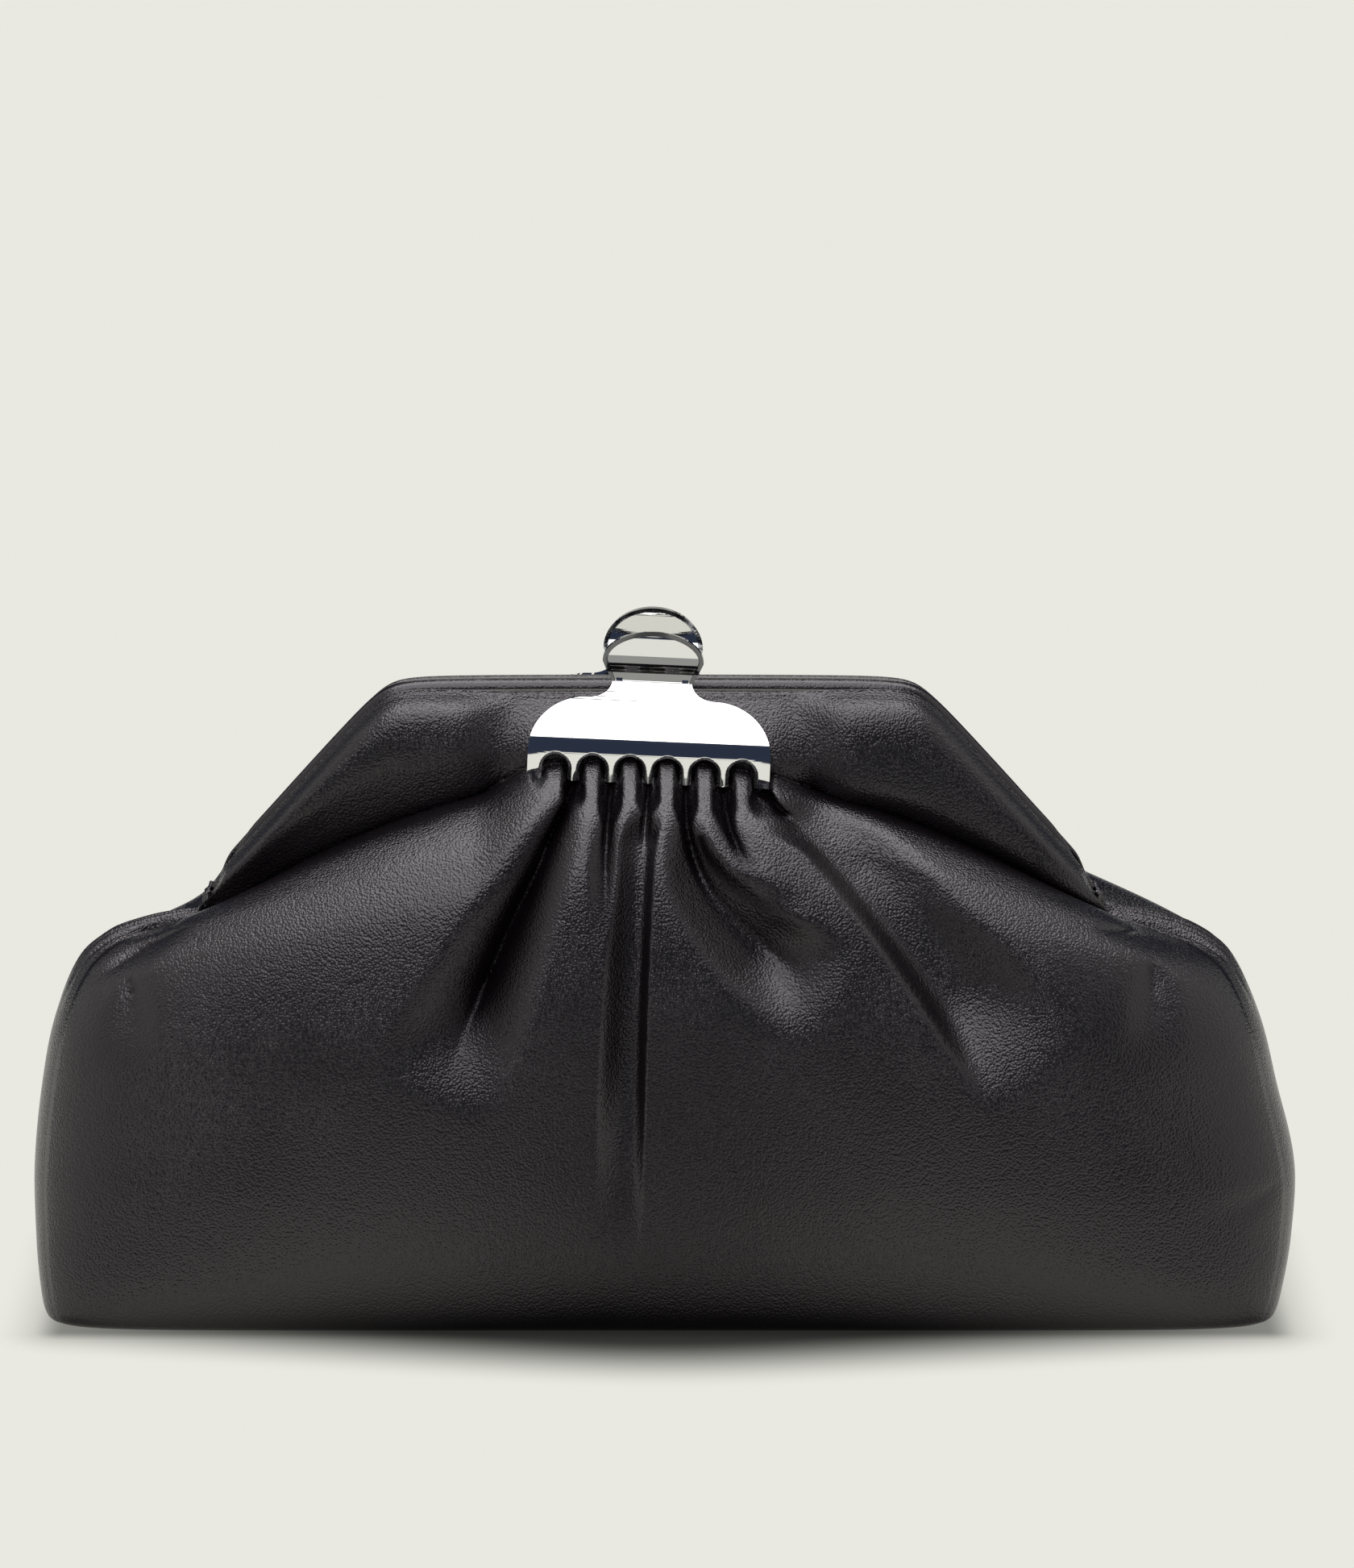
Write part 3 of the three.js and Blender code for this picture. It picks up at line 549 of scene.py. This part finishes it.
def panel(name, side, folds, grid, node):
    """One whole panel, with an attribute of painted shade along its deep folds where they press together."""
    def place(u, v):
        level = np.interp(v, ROW_SHARES, ROW_LEVELS)
        yoke = np.clip(level - 1.0, 0.0, 1.0)
        level = level - yoke + yoke ** ROW_CROWD
        reach = PANEL_EDGE + (1 - PANEL_EDGE) * smooth(level, *EDGE_CLOSES)
        first, third, fifth = COLUMN_CROWD
        return panel_place(side, reach * (first * u + third * u ** 3 + fifth * u ** 5), level, folds)

    bm = sheet_mesh(grid, place, side > 0)
    piece = finished(bm, name, BODY_LEATHER, "bag", "leather", node)
    spots = np.array([v.co[:] for v in piece.data.vertices]) / MM
    # Painted shade along the deep folds, kept on the panel for its leather to darken.
    painted_crease_shade = piece.data.attributes.new("painted_crease_shade", "FLOAT", "POINT")
    painted_crease_shade.data.foreach_set("value", painted_fold_shade(folds, spots[:, 0], spots[:, 2]))
    skin(piece)
    return piece


front = panel("bag_front", -1, FRONT_FOLDS, FRONT_GRID, "front_panel")
back = panel("bag_back", 1, BACK_FOLDS, BACK_GRID, "back_panel")

# Gussets.
# The rolled sides, sewn between the two panels along a turned seam. At the top they are pleated and run
# up round the frame's hinges.
HINGE_LEAN = 1.0
HINGE_SPREAD = 0.6
HINGE_TAPER = 0.89
SEAM_GAP = 0.02
SEAM_TUCK = 0.9
PLEAT = 2.4
PLEAT_TURNS = 2.5
PLEAT_MEAN = 0.6
PLEAT_RISE = (0.6, 0.9)
PLEAT_FALL = (1.0, 1.25)
TUCK_ACROSS = (0.5, 0.8)
TUCK_RISE = (0.86, 0.92)
DENT_ACROSS = (0.15, 0.8)
SIDE_SHARES = (0.0, 0.84, 0.93, 1.0)
SIDE_LEVELS = (0.0, 0.9, 1.0, 2.0)
SIDE_GRID = (60, 110)


def gusset_place(hand, across, level):
    """Places on the outside of the left (hand -1) or right (hand 1) side, from front seam to back seam."""
    up = np.minimum(level, 1.0)
    t = level - up
    width = section(up, "width")
    square = section(up, "square")
    edge = PANEL_EDGE * HINGE_REACH + (width - HINGE_REACH) * PANEL_EDGE ** 3
    depth = np.maximum(section(up, "depth"), YOKE_DEPTH)
    edge_share = (1 - (edge / width) ** square) ** (1 / square)
    share = across * (edge_share - SEAM_GAP / depth)
    x = width * (1 - np.abs(share) ** square) ** (1 / square)
    c = PANEL_EDGE + (1 - PANEL_EDGE) * np.clip((x - edge) / (width - edge), 0.0, 1.0)
    gather = section(up, "side") + section(up, "lift") * (gather_height(c * HINGE_REACH) - HINGE_HEIGHT)
    z = gather + (frame_height(c * HINGE_REACH) - gather) * t
    lean = t * (HINGE_SPREAD * across * across - HINGE_LEAN * (1 - across * across))
    y = depth * share * (1 + (HINGE_TAPER - 1) * t)
    pleat = smooth(level, *PLEAT_RISE) * (1 - smooth(level, *PLEAT_FALL)) * (1 - across ** 4)
    push = PLEAT * pleat * (np.abs(np.cos(PLEAT_TURNS * np.pi * across)) - PLEAT_MEAN)
    tuck = SEAM_TUCK * smooth(np.abs(across), *TUCK_ACROSS) * smooth(level, *TUCK_RISE)
    at_x = section(up, "shift") + hand * (x + lean + 0.5 * push - tuck)
    dent = smooth(-across, *DENT_ACROSS) * fold_depth(SIDE_FOLDS, at_x, z)
    y = y + DENT_BACK * dent
    z = z + push - DENT_DOWN * dent * smooth(level, *DENT_RISE)
    return np.stack((at_x, y, z - slump(at_x, y, level)), axis=1)


for name, hand, node in (("side_left", -1, "gusset_left"), ("side_right", 1, "gusset_right")):
    def place(u, v, hand=hand):
        return gusset_place(hand, 1.5 * u - 0.5 * u ** 3, np.interp(v, SIDE_SHARES, SIDE_LEVELS))

    bm = sheet_mesh(SIDE_GRID, place, hand < 0)
    piece = finished(bm, name, BODY_LEATHER, "bag", "leather", node)
    skin(piece)

# Frame bars.
# Two steel strips wrapped in thin leather that follow the top edge and slopes, hinged at their ends.
# The back one shows as a smooth roll above the front edge.
FRAME_SHIFT = -3.1
BAR_INNER = 0.4
BAR_SPREAD = 2.0
BAR_OUTER = 6.6
BAR_TALL = 6.4
BAR_END = 0.985
BAR_TAPER = 0.6
BAR_THIN = 0.55
BAR_PROUD = {-1: -0.4, 1: 1.3}
BAR_SQUARE = 0.85
BAR_OPENS = (94.0, 104.0)
BAR_CLOSES = (88.0, 104.0)
BAR_THINS = (0.88, 1.0)
BAR_GRID = (160, 32)
BAR_LEATHER = nappa("bar_nappa", relief=0.00007, rough=(0.22, 0.3))


def bar_place(side, along, around):
    """Places on a bar: a rounded strip along the frame's edge, thinner towards its ends."""
    reach = BAR_END * HINGE_REACH * along
    slope = frame_height(reach + 0.5) - frame_height(reach - 0.5)
    length = np.hypot(1.0, slope)
    c, s = np.cos(around), np.sin(around)
    inner = BAR_INNER + BAR_SPREAD * smooth(np.abs(reach), *BAR_OPENS)
    across = 0.5 * (BAR_OUTER - inner) * np.sign(c) * np.abs(c) ** BAR_SQUARE
    thin = 1 - BAR_THIN * smooth(np.abs(along), *BAR_THINS)
    tall = 0.5 * BAR_TALL * thin * np.sign(s) * np.abs(s) ** BAR_SQUARE
    off = tall - 0.5 * BAR_TALL + BAR_PROUD[side] * thin
    centre = 0.5 * (inner + BAR_OUTER) - BAR_TAPER * smooth(np.abs(reach), *BAR_CLOSES)
    x = FRAME_SHIFT + reach - off * slope / length
    z = frame_height(reach) + off / length
    return np.stack((x, side * (centre + across), z), axis=1)


for name, side, node in (("bar_front", -1, "frame_bar_front"), ("bar_back", 1, "frame_bar_back")):
    def place(u, v, side=side):
        return bar_place(side, u, 2.0 * np.pi * v)

    bm = sheet_mesh(BAR_GRID, place, False)
    bmesh.ops.remove_doubles(bm, verts=bm.verts[:], dist=1e-6)
    ends = [e for e in bm.edges if e.is_boundary]
    bmesh.ops.holes_fill(bm, edges=ends, sides=0)
    bmesh.ops.recalc_face_normals(bm, faces=bm.faces[:])
    finished(bm, name, BAR_LEATHER, "bag", "leather", node)

# Frame hinges.
# Small brass pins between the ends of the bars, out of sight from the front. They keep their plain solid
# shape and get a satin brass finish.


def metal(name, color, rough, mottle, scale):
    """Plain metal whose shine varies a little with fine wipe marks."""
    material = bpy.data.materials.new(name)
    material.use_nodes = True
    tree = material.node_tree
    shader = tree.nodes["Principled BSDF"]
    shader.inputs["Base Color"].default_value = color
    shader.inputs["Metallic"].default_value = 1.0
    place = add_node(tree, "ShaderNodeTexCoord")
    marks = add_node(tree, "ShaderNodeTexNoise", Scale=scale, Detail=4.0)
    shine = add_node(tree, "ShaderNodeMapRange", From_Min=0.3, From_Max=0.75)
    shine.inputs["To Min"].default_value = rough
    shine.inputs["To Max"].default_value = rough + mottle
    link(tree, place, "Object", marks, "Vector")
    link(tree, marks, "Fac", shine, "Value")
    link(tree, shine, "Result", shader, "Roughness")
    return material


BRASS = metal("satin_brass", (0.52, 0.42, 0.22, 1.0), 0.28, 0.12, 900.0)
for node in ("frame_hinge_left", "frame_hinge_right"):
    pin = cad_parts[node]
    pin.data.materials.clear()
    pin.data.materials.append(BRASS)

# Claw clip.
# Two like jaws of polished plated metal on one pin. Each is a plate bent at a crease into a rimmed thumb
# lever, and curled in below into seven teeth with round-topped gaps for the leather.
PIN_PLACE = Vector((FRAME_SHIFT, 0.0, 164.5))
PIN_RADIUS = 1.2
PIN_LENGTH = 19.8
PIN_SIDES = 40
PIN_EDGE = 0.3
JAW_THICK = 1.8
CREASE = -3.9
CREASE_DEPTH = -13.2
CREASE_ROUND = 0.5
LEVER_TOP = 9.7
PLATE_LEAN = math.radians(23)
PLATE_FLAT = 14.6
CURL_RADIUS = 9.0
TIP_LEAN = math.radians(-10)
TOOTH_RUN = 7.6
NECK_HALF = 10.0
SADDLE_REACH = 6.0
SADDLE_DROP = 4.2
SHOULDER_DROP = 17.0
LEVER_HALF = 12.7
FRONT_ROUND = 7.6
BACK_ROUND = 10.5
RIM = 1.2
RIM_RAISED = 0.5
FIELD_FOOT = 0.25
GAPS = 6
TOOTH_PITCH = 9.4
GAP_HALF = 3.15
GAP_ROUND = 1.1
ARCH_TOP = -22.0
EDGE_ROUND = 0.3
EAR_THICK = 1.6
EAR_RADIUS = 2.7
EAR_HOLE = 1.5
FRONT_EAR_AT = 8.3
BACK_EAR_AT = 5.8
LEDGE_REACH = 0.6
SHARP_TURN = 0.7
SMOOTH_TURN = math.radians(40)
SIDE_STEP = 0.05
PLATE_CUT = 0.4
CREASE_CUT = 0.1
LEVER_CUT = 0.25
# Each lever's bends: share of the way from its top down to the crease, and lean in degrees.
FRONT_BEND = (
    (0, 6), (0.07, 5), (0.14, -3), (0.45, -9), (0.63, -21), (0.7, -28), (0.77, -37), (0.83, -16), (1, -12),
)
BACK_BEND = ((0, 5), (0.25, -3), (0.55, -13), (0.72, -28), (1, -42))
CHROME = metal("polished_plate", (0.88, 0.88, 0.87, 1.0), 0.03, 0.03, 260.0)
# A darker copy of the plate's metal for the lever's rim and edges: painted dark reflection.
PAINTED_REFLECTION_METAL = metal("dark_painted_reflection", (0.16, 0.16, 0.165, 1.0), 0.1, 0.05, 400.0)


def jaw_side(bends):
    """The jaw's middle line from the lever's top to the tooth tips: depth, height and lean at each step."""
    shares, degrees = np.array(bends).T
    upright = np.cos(np.radians(np.interp(np.linspace(0.0, 1.0, 200), shares, degrees))).mean()
    lever = (LEVER_TOP - CREASE) / upright
    marks = list(shares * (lever - 0.5 * CREASE_ROUND))
    leans = list(np.radians(degrees)) + [PLATE_LEAN, PLATE_LEAN, 0.0, TIP_LEAN, TIP_LEAN]
    lengths = (CREASE_ROUND, PLATE_FLAT - 0.5 * CREASE_ROUND, CURL_RADIUS * PLATE_LEAN, TOOTH_RUN, 3.0)
    marks += list(marks[-1] + np.cumsum(lengths))
    run = np.arange(0.0, marks[-1], SIDE_STEP)
    lean = np.interp(run, marks, leans)
    z = LEVER_TOP - np.concatenate(((0.0,), np.cumsum(np.cos(lean) * SIDE_STEP)[:-1]))
    y = -np.concatenate(((0.0,), np.cumsum(np.sin(lean) * SIDE_STEP)[:-1]))
    crease = np.argmin(np.abs(run - lever))
    return y - y[crease] + CREASE_DEPTH, z - z[crease] + CREASE, lean


CURL_FALL = CURL_RADIUS * math.sin(PLATE_LEAN)
TIP = CREASE - PLATE_FLAT * math.cos(PLATE_LEAN) - CURL_FALL - TOOTH_RUN * math.cos(0.5 * TIP_LEAN)


def arc(middle, radii, start, end, count):
    """Points along an arc of a circle or ellipse, ends included."""
    for turn in np.linspace(start, end, count):
        yield middle[0] + radii[0] * math.cos(turn), middle[1] + radii[1] * math.sin(turn)


def jaw_outline(lever_round):
    """Front outline of a jaw, anticlockwise from the lower right of the plate."""
    shoulder = CREASE - SHOULDER_DROP
    saddle = CREASE - SADDLE_DROP
    bend = NECK_HALF + SADDLE_REACH
    waist = LEVER_TOP - lever_round
    right = [(PLATE_HALF, TIP), (PLATE_HALF, shoulder)]
    right += list(arc((bend, shoulder), (PLATE_HALF - bend, saddle - shoulder), 0.0, 0.5 * math.pi, 22))[1:]
    right += list(arc((bend, CREASE), (SADDLE_REACH, SADDLE_DROP), 1.5 * math.pi, math.pi, 10))[1:]
    lever = list(arc((0.0, waist), (LEVER_HALF, lever_round), 0.0, math.pi, 45))
    left = [(-x, z) for x, z in reversed(right)]
    teeth = []
    for gap in range(GAPS):
        middle = (gap - 0.5 * (GAPS - 1)) * TOOTH_PITCH
        teeth.append((middle - GAP_HALF, TIP))
        teeth += list(arc((middle, ARCH_TOP - GAP_HALF), (GAP_HALF, GAP_HALF), math.pi, 0.0, 17))
        teeth.append((middle + GAP_HALF, TIP))
    return right + lever + left + teeth


def all_of(bm):
    return bm.verts[:] + bm.edges[:] + bm.faces[:]


def in_gap(edge):
    """Whether an edge on the front face runs along one of the comb's gaps."""
    low = all(v.co.y < 0 and v.co.z < ARCH_TOP + 0.01 and abs(v.co.x) < PLATE_HALF - 1 for v in edge.verts)
    return low and max(v.co.z for v in edge.verts) > TIP + 0.01


def jaw_plate(lever_round):
    """The plate with its rim and round edges, before it is bent: x across, y front to back, z up."""
    bm = bmesh.new()
    bm.faces.new([bm.verts.new((x, 0.5 * JAW_THICK, z)) for x, z in jaw_outline(lever_round)])
    bmesh.ops.bisect_plane(bm, geom=all_of(bm), plane_co=(0, 0, CREASE), plane_no=(0, 0, 1))
    push_out(bm, bm.faces[:], (0, -JAW_THICK, 0))
    bmesh.ops.recalc_face_normals(bm, faces=bm.faces[:])
    fields = [f for f in bm.faces if abs(f.normal.y) > 0.9 and f.calc_center_median().z > CREASE]
    bmesh.ops.inset_individual(bm, faces=fields, thickness=RIM, depth=-RIM_RAISED, use_even_offset=True)
    for vert in {v for f in fields for v in f.verts if v.co.z < CREASE + RIM + 0.01}:
        vert.co.z = CREASE + FIELD_FOOT
    round_edges(bm, [e for e in bm.edges if in_gap(e)], GAP_ROUND, steps=4)
    ledge = [e for e in bm.edges if all(abs(v.co.z - CREASE) < LEDGE_REACH for v in e.verts)]
    sharp = [e for e in bm.edges if e.calc_face_angle(0.0) > SHARP_TURN and e not in ledge]
    round_edges(bm, sharp, EDGE_ROUND, clamp=True)
    bm.normal_update()
    # Faces above the crease that face neither front nor back, the lever's rim walls and rounded edges, take
    # the darker metal: painted dark reflection.
    for face in bm.faces:
        if abs(face.normal.y) < 0.98 and face.calc_center_median().z > CREASE + 0.4:
            face.material_index = 1
    return bm


def add_ear(bm, at):
    """A lug from the plate to the pin, with a hole that the pin turns in."""
    outer = [(CREASE_DEPTH - 0.5, CREASE - 1.6), (-0.4, -EAR_RADIUS)]
    outer += list(arc((0.0, 0.0), (EAR_RADIUS, EAR_RADIUS), -0.5 * math.pi, 0.5 * math.pi, 19))
    outer.append((CREASE_DEPTH - 0.7, CREASE + 3.4))
    hole = list(arc((0.0, 0.0), (EAR_HOLE, EAR_HOLE), 0.0, 2.0 * math.pi, 25))[:-1]
    edges = []
    for loop in (outer, hole):
        verts = [bm.verts.new((at - 0.5 * EAR_THICK, y, z)) for y, z in loop]
        edges += [bm.edges.new((verts[i - 1], verts[i])) for i in range(len(verts))]
    filled = bmesh.ops.triangle_fill(bm, edges=edges, use_beauty=True)
    faces = [f for f in filled["geom"] if isinstance(f, bmesh.types.BMFace)]
    push_out(bm, faces, (EAR_THICK, 0, 0))


def jaw(name, bends, lever_round, ear_at, turn, body, node):
    """A whole jaw: the plate cut across where it bends, laid along the side line, with two ears."""
    bm = jaw_plate(lever_round)
    side_y, side_z, side_lean = jaw_side(bends)
    plate = np.arange(TIP + 0.5, CREASE - 1.0, PLATE_CUT)
    crease = np.arange(CREASE - 0.7, CREASE + 0.75, CREASE_CUT)
    lever = np.arange(CREASE + 1.0, LEVER_TOP, LEVER_CUT)
    for cut in np.concatenate((plate, crease, lever)):
        bmesh.ops.bisect_plane(bm, geom=all_of(bm), plane_co=(0, 0, cut), plane_no=(0, 0, 1))
    places = np.arange(len(side_z))
    for vert in bm.verts:
        run = np.interp(-vert.co.z, -side_z, places)
        lean = np.interp(run, places, side_lean)
        off = -vert.co.y
        y = np.interp(run, places, side_y)
        vert.co = (vert.co.x, y - off * math.cos(lean), vert.co.z + off * math.sin(lean))
    for hand in (-1, 1):
        add_ear(bm, hand * ear_at)
    bmesh.ops.recalc_face_normals(bm, faces=bm.faces[:])
    bmesh.ops.transform(bm, matrix=Matrix.Scale(MM, 4) @ turn, verts=bm.verts[:])
    piece = finished(bm, name, CHROME, body, "clip", node)
    piece.data.materials.append(PAINTED_REFLECTION_METAL)
    piece.data.set_sharp_from_angle(angle=SMOOTH_TURN)
    even = piece.modifiers.new("even_shading", "WEIGHTED_NORMAL")
    even.keep_sharp = True


SEAT = Matrix.Translation(PIN_PLACE) @ Matrix.Rotation(CLIP_ROLL, 4, "Y")
TURNED_SEAT = SEAT @ Matrix.Rotation(math.pi, 4, "Z")
jaw("clip_jaw_front", FRONT_BEND, FRONT_ROUND, FRONT_EAR_AT, SEAT, "front_jaw", "clip_front_jaw")
jaw("clip_jaw_back", BACK_BEND, BACK_ROUND, BACK_EAR_AT, TURNED_SEAT, "bag", "clip_back_jaw")

bm = bmesh.new()
bmesh.ops.create_cone(
    bm, cap_ends=True, segments=PIN_SIDES, radius1=PIN_RADIUS, radius2=PIN_RADIUS, depth=PIN_LENGTH
)
round_edges(bm, level_edges(bm), PIN_EDGE)
lying = Matrix.Scale(MM, 4) @ SEAT @ Matrix.Rotation(0.5 * math.pi, 4, "Y")
bmesh.ops.transform(bm, matrix=lying, verts=bm.verts[:])
pin = finished(bm, "clip_pin", CHROME, "bag", "clip", "clip_hinge_pin")
pin.data.set_sharp_from_angle(angle=SMOOTH_TURN)

# Floor, light and camera.
# A pale studio floor with a painted shadow round the bag, a sweep, soft boxes in front and overhead, pale
# walls at the sides, dark cards that show only in the mirror of the clip and the leather, and a long lens a
# little above the bag.
PALE = (0.812, 0.812, 0.752, 1.0)
NAVY = (0.024, 0.032, 0.056, 1.0)
GRAY = (0.3, 0.3, 0.29, 1.0)
BLACK = (0.004, 0.004, 0.005, 1.0)
WALL = (0.6, 0.6, 0.58, 1.0)
WALL_AWAY = 1.3
# Painted shadow on the floor: the bag's footprint, how much wider it grows towards the ends, and how round it
# is in the middle.
FOOTPRINT = (0.152, 0.044)
SHADE_TAPER = 0.22
SHADE_ROUND = 0.03
LENS = 162.5
CAMERA_AWAY = 1.8
CAMERA_RISE = math.radians(12)
AIM = Vector((0.00297, 0.0, 0.1317))


def glowing(name, color):
    """A surface of one even brightness."""
    material = bpy.data.materials.new(name)
    material.use_nodes = True
    tree = material.node_tree
    tree.nodes.remove(tree.nodes["Principled BSDF"])
    glow = add_node(tree, "ShaderNodeEmission", name="glow", Color=color)
    link(tree, glow, "Emission", tree.nodes["Material Output"], "Surface")
    return material


def card(name, size, middle, turn, material):
    """A flat card of the studio, part of the stage and not of the bag."""
    bm = bmesh.new()
    bmesh.ops.create_grid(bm, x_segments=1, y_segments=1, size=0.5)
    bmesh.ops.scale(bm, vec=(size[0], size[1], 1.0), verts=bm.verts[:])
    bmesh.ops.transform(bm, matrix=Matrix.Translation(middle) @ turn, verts=bm.verts[:])
    mesh = bpy.data.meshes.new(name)
    bm.to_mesh(mesh)
    bm.free()
    mesh.materials.append(material)
    piece = bpy.data.objects.new(name, mesh)
    bpy.context.scene.collection.objects.link(piece)
    return piece


def painted_shadow_floor():
    """Evenly bright pale floor with a painted shadow round the bag, darkest and widest under its middle."""
    material = glowing("pale_floor_painted_shadow", PALE)
    tree = material.node_tree
    place = add_node(tree, "ShaderNodeTexCoord")
    fold_over = add_node(tree, "ShaderNodeVectorMath", operation="ABSOLUTE")
    outside = add_node(tree, "ShaderNodeVectorMath", operation="SUBTRACT")
    outside.inputs[1].default_value = (FOOTPRINT[0], FOOTPRINT[1], 0.0)
    beyond = add_node(tree, "ShaderNodeVectorMath", operation="MAXIMUM")
    away = add_node(tree, "ShaderNodeVectorMath", operation="LENGTH")
    apart = add_node(tree, "ShaderNodeSeparateXYZ")
    squared = add_node(tree, "ShaderNodeMath", operation="MULTIPLY_ADD")
    squared.inputs[2].default_value = SHADE_ROUND ** 2
    rounded = add_node(tree, "ShaderNodeMath", operation="SQRT")
    aside = add_node(tree, "ShaderNodeMath", operation="MULTIPLY_ADD")
    aside.inputs[1].default_value = SHADE_TAPER
    # Painted shadow: a wide soft fall-off from the footprint, times a narrow dark band right at its edge.
    shadow_spread = add_node(tree, "ShaderNodeMapRange", From_Min=0.014, From_Max=0.057, To_Min=0.04, To_Max=1.0)
    contact_shadow = add_node(tree, "ShaderNodeMapRange", From_Min=0.0, From_Max=0.008, To_Min=0.6, To_Max=1.0)
    for ramp in (shadow_spread, contact_shadow):
        ramp.interpolation_type = "SMOOTHSTEP"
    painted_shadow = add_node(tree, "ShaderNodeMath", operation="MULTIPLY")
    link(tree, place, "Object", fold_over, 0)
    link(tree, fold_over, "Vector", outside, 0)
    link(tree, fold_over, "Vector", apart, "Vector")
    link(tree, outside, "Vector", beyond, 0)
    link(tree, beyond, "Vector", away, 0)
    link(tree, apart, "X", squared, 0)
    link(tree, apart, "X", squared, 1)
    link(tree, squared, "Value", rounded, 0)
    link(tree, rounded, "Value", aside, 0)
    link(tree, away, "Value", aside, 2)
    link(tree, aside, "Value", shadow_spread, "Value")
    link(tree, away, "Value", contact_shadow, "Value")
    link(tree, shadow_spread, "Result", painted_shadow, 0)
    link(tree, contact_shadow, "Result", painted_shadow, 1)
    link(tree, painted_shadow, "Value", tree.nodes["glow"], "Strength")
    return material


LYING = Matrix.Identity(4)
UPRIGHT = Matrix.Rotation(0.5 * math.pi, 4, "X")
ASIDE = Matrix.Rotation(0.5 * math.pi, 4, "Z") @ UPRIGHT
MIRROR_CARDS = (
    ("flag", (1.6, 0.58), (0.0, -0.85, 0.29), UPRIGHT, NAVY),
    ("gray_card", (0.06, 0.13), (-0.003, -0.225, 0.0005), LYING, GRAY),
    ("apron", (1.6, 0.3), (0.0, -0.7, 0.0005), LYING, NAVY),
    ("black_card", (0.06, 0.06), (-0.003, -0.13, 0.0005), LYING, BLACK),
)
card("floor", (1.5, 12.0), Vector((0.0, 0.0, -0.0002)), LYING, painted_shadow_floor())
card("sweep", (1.5, 5.0), Vector((0.0, 4.3, 2.5)), UPRIGHT, glowing("pale_sweep", PALE))
for name, size, middle, turn, color in MIRROR_CARDS:
    hidden = card(name, size, Vector(middle), turn, glowing(name + "_paint", color))
    hidden.visible_camera = False
    hidden.visible_shadow = False
for name, x in (("wall_left", -WALL_AWAY), ("wall_right", WALL_AWAY)):
    wall = card(name, (2.6, 2.0), Vector((x, 0.0, 1.0)), ASIDE, glowing(name + "_pale", WALL))
    wall.visible_camera = False


def soft_light(name, size, middle, aim, power):
    """A rectangular soft box that faces a place."""
    lamp = bpy.data.lights.new(name, "AREA")
    lamp.shape = "RECTANGLE"
    lamp.size, lamp.size_y = size
    lamp.energy = power
    holder = bpy.data.objects.new(name, lamp)
    bpy.context.scene.collection.objects.link(holder)
    holder.location = middle
    holder.rotation_euler = (Vector(aim) - Vector(middle)).to_track_quat("-Z", "Y").to_euler()


soft_light("front_box", size=(0.95, 1.25), middle=(-0.15, -0.74, 1.1), aim=(0.0, 0.0, 0.15), power=10.5)
soft_light("top_box", size=(1.6, 0.7), middle=(0.0, 0.1, 1.35), aim=(0.0, 0.05, 0.1), power=15.0)

world = bpy.data.worlds.new("studio")
world.use_nodes = True
world.node_tree.nodes["Background"].inputs["Color"].default_value = NAVY
bpy.context.scene.world = world
bpy.context.scene.view_settings.view_transform = "Standard"

lens = bpy.data.cameras.new("camera")
lens.lens = LENS
lens.sensor_width = 36.0
camera = bpy.data.objects.new("camera", lens)
bpy.context.scene.collection.objects.link(camera)
back_off = Vector((0.0, -math.cos(CAMERA_RISE), math.sin(CAMERA_RISE)))
camera.location = AIM + CAMERA_AWAY * back_off
camera.rotation_euler = (-back_off).to_track_quat("-Z", "Y").to_euler()
bpy.context.scene.camera = camera
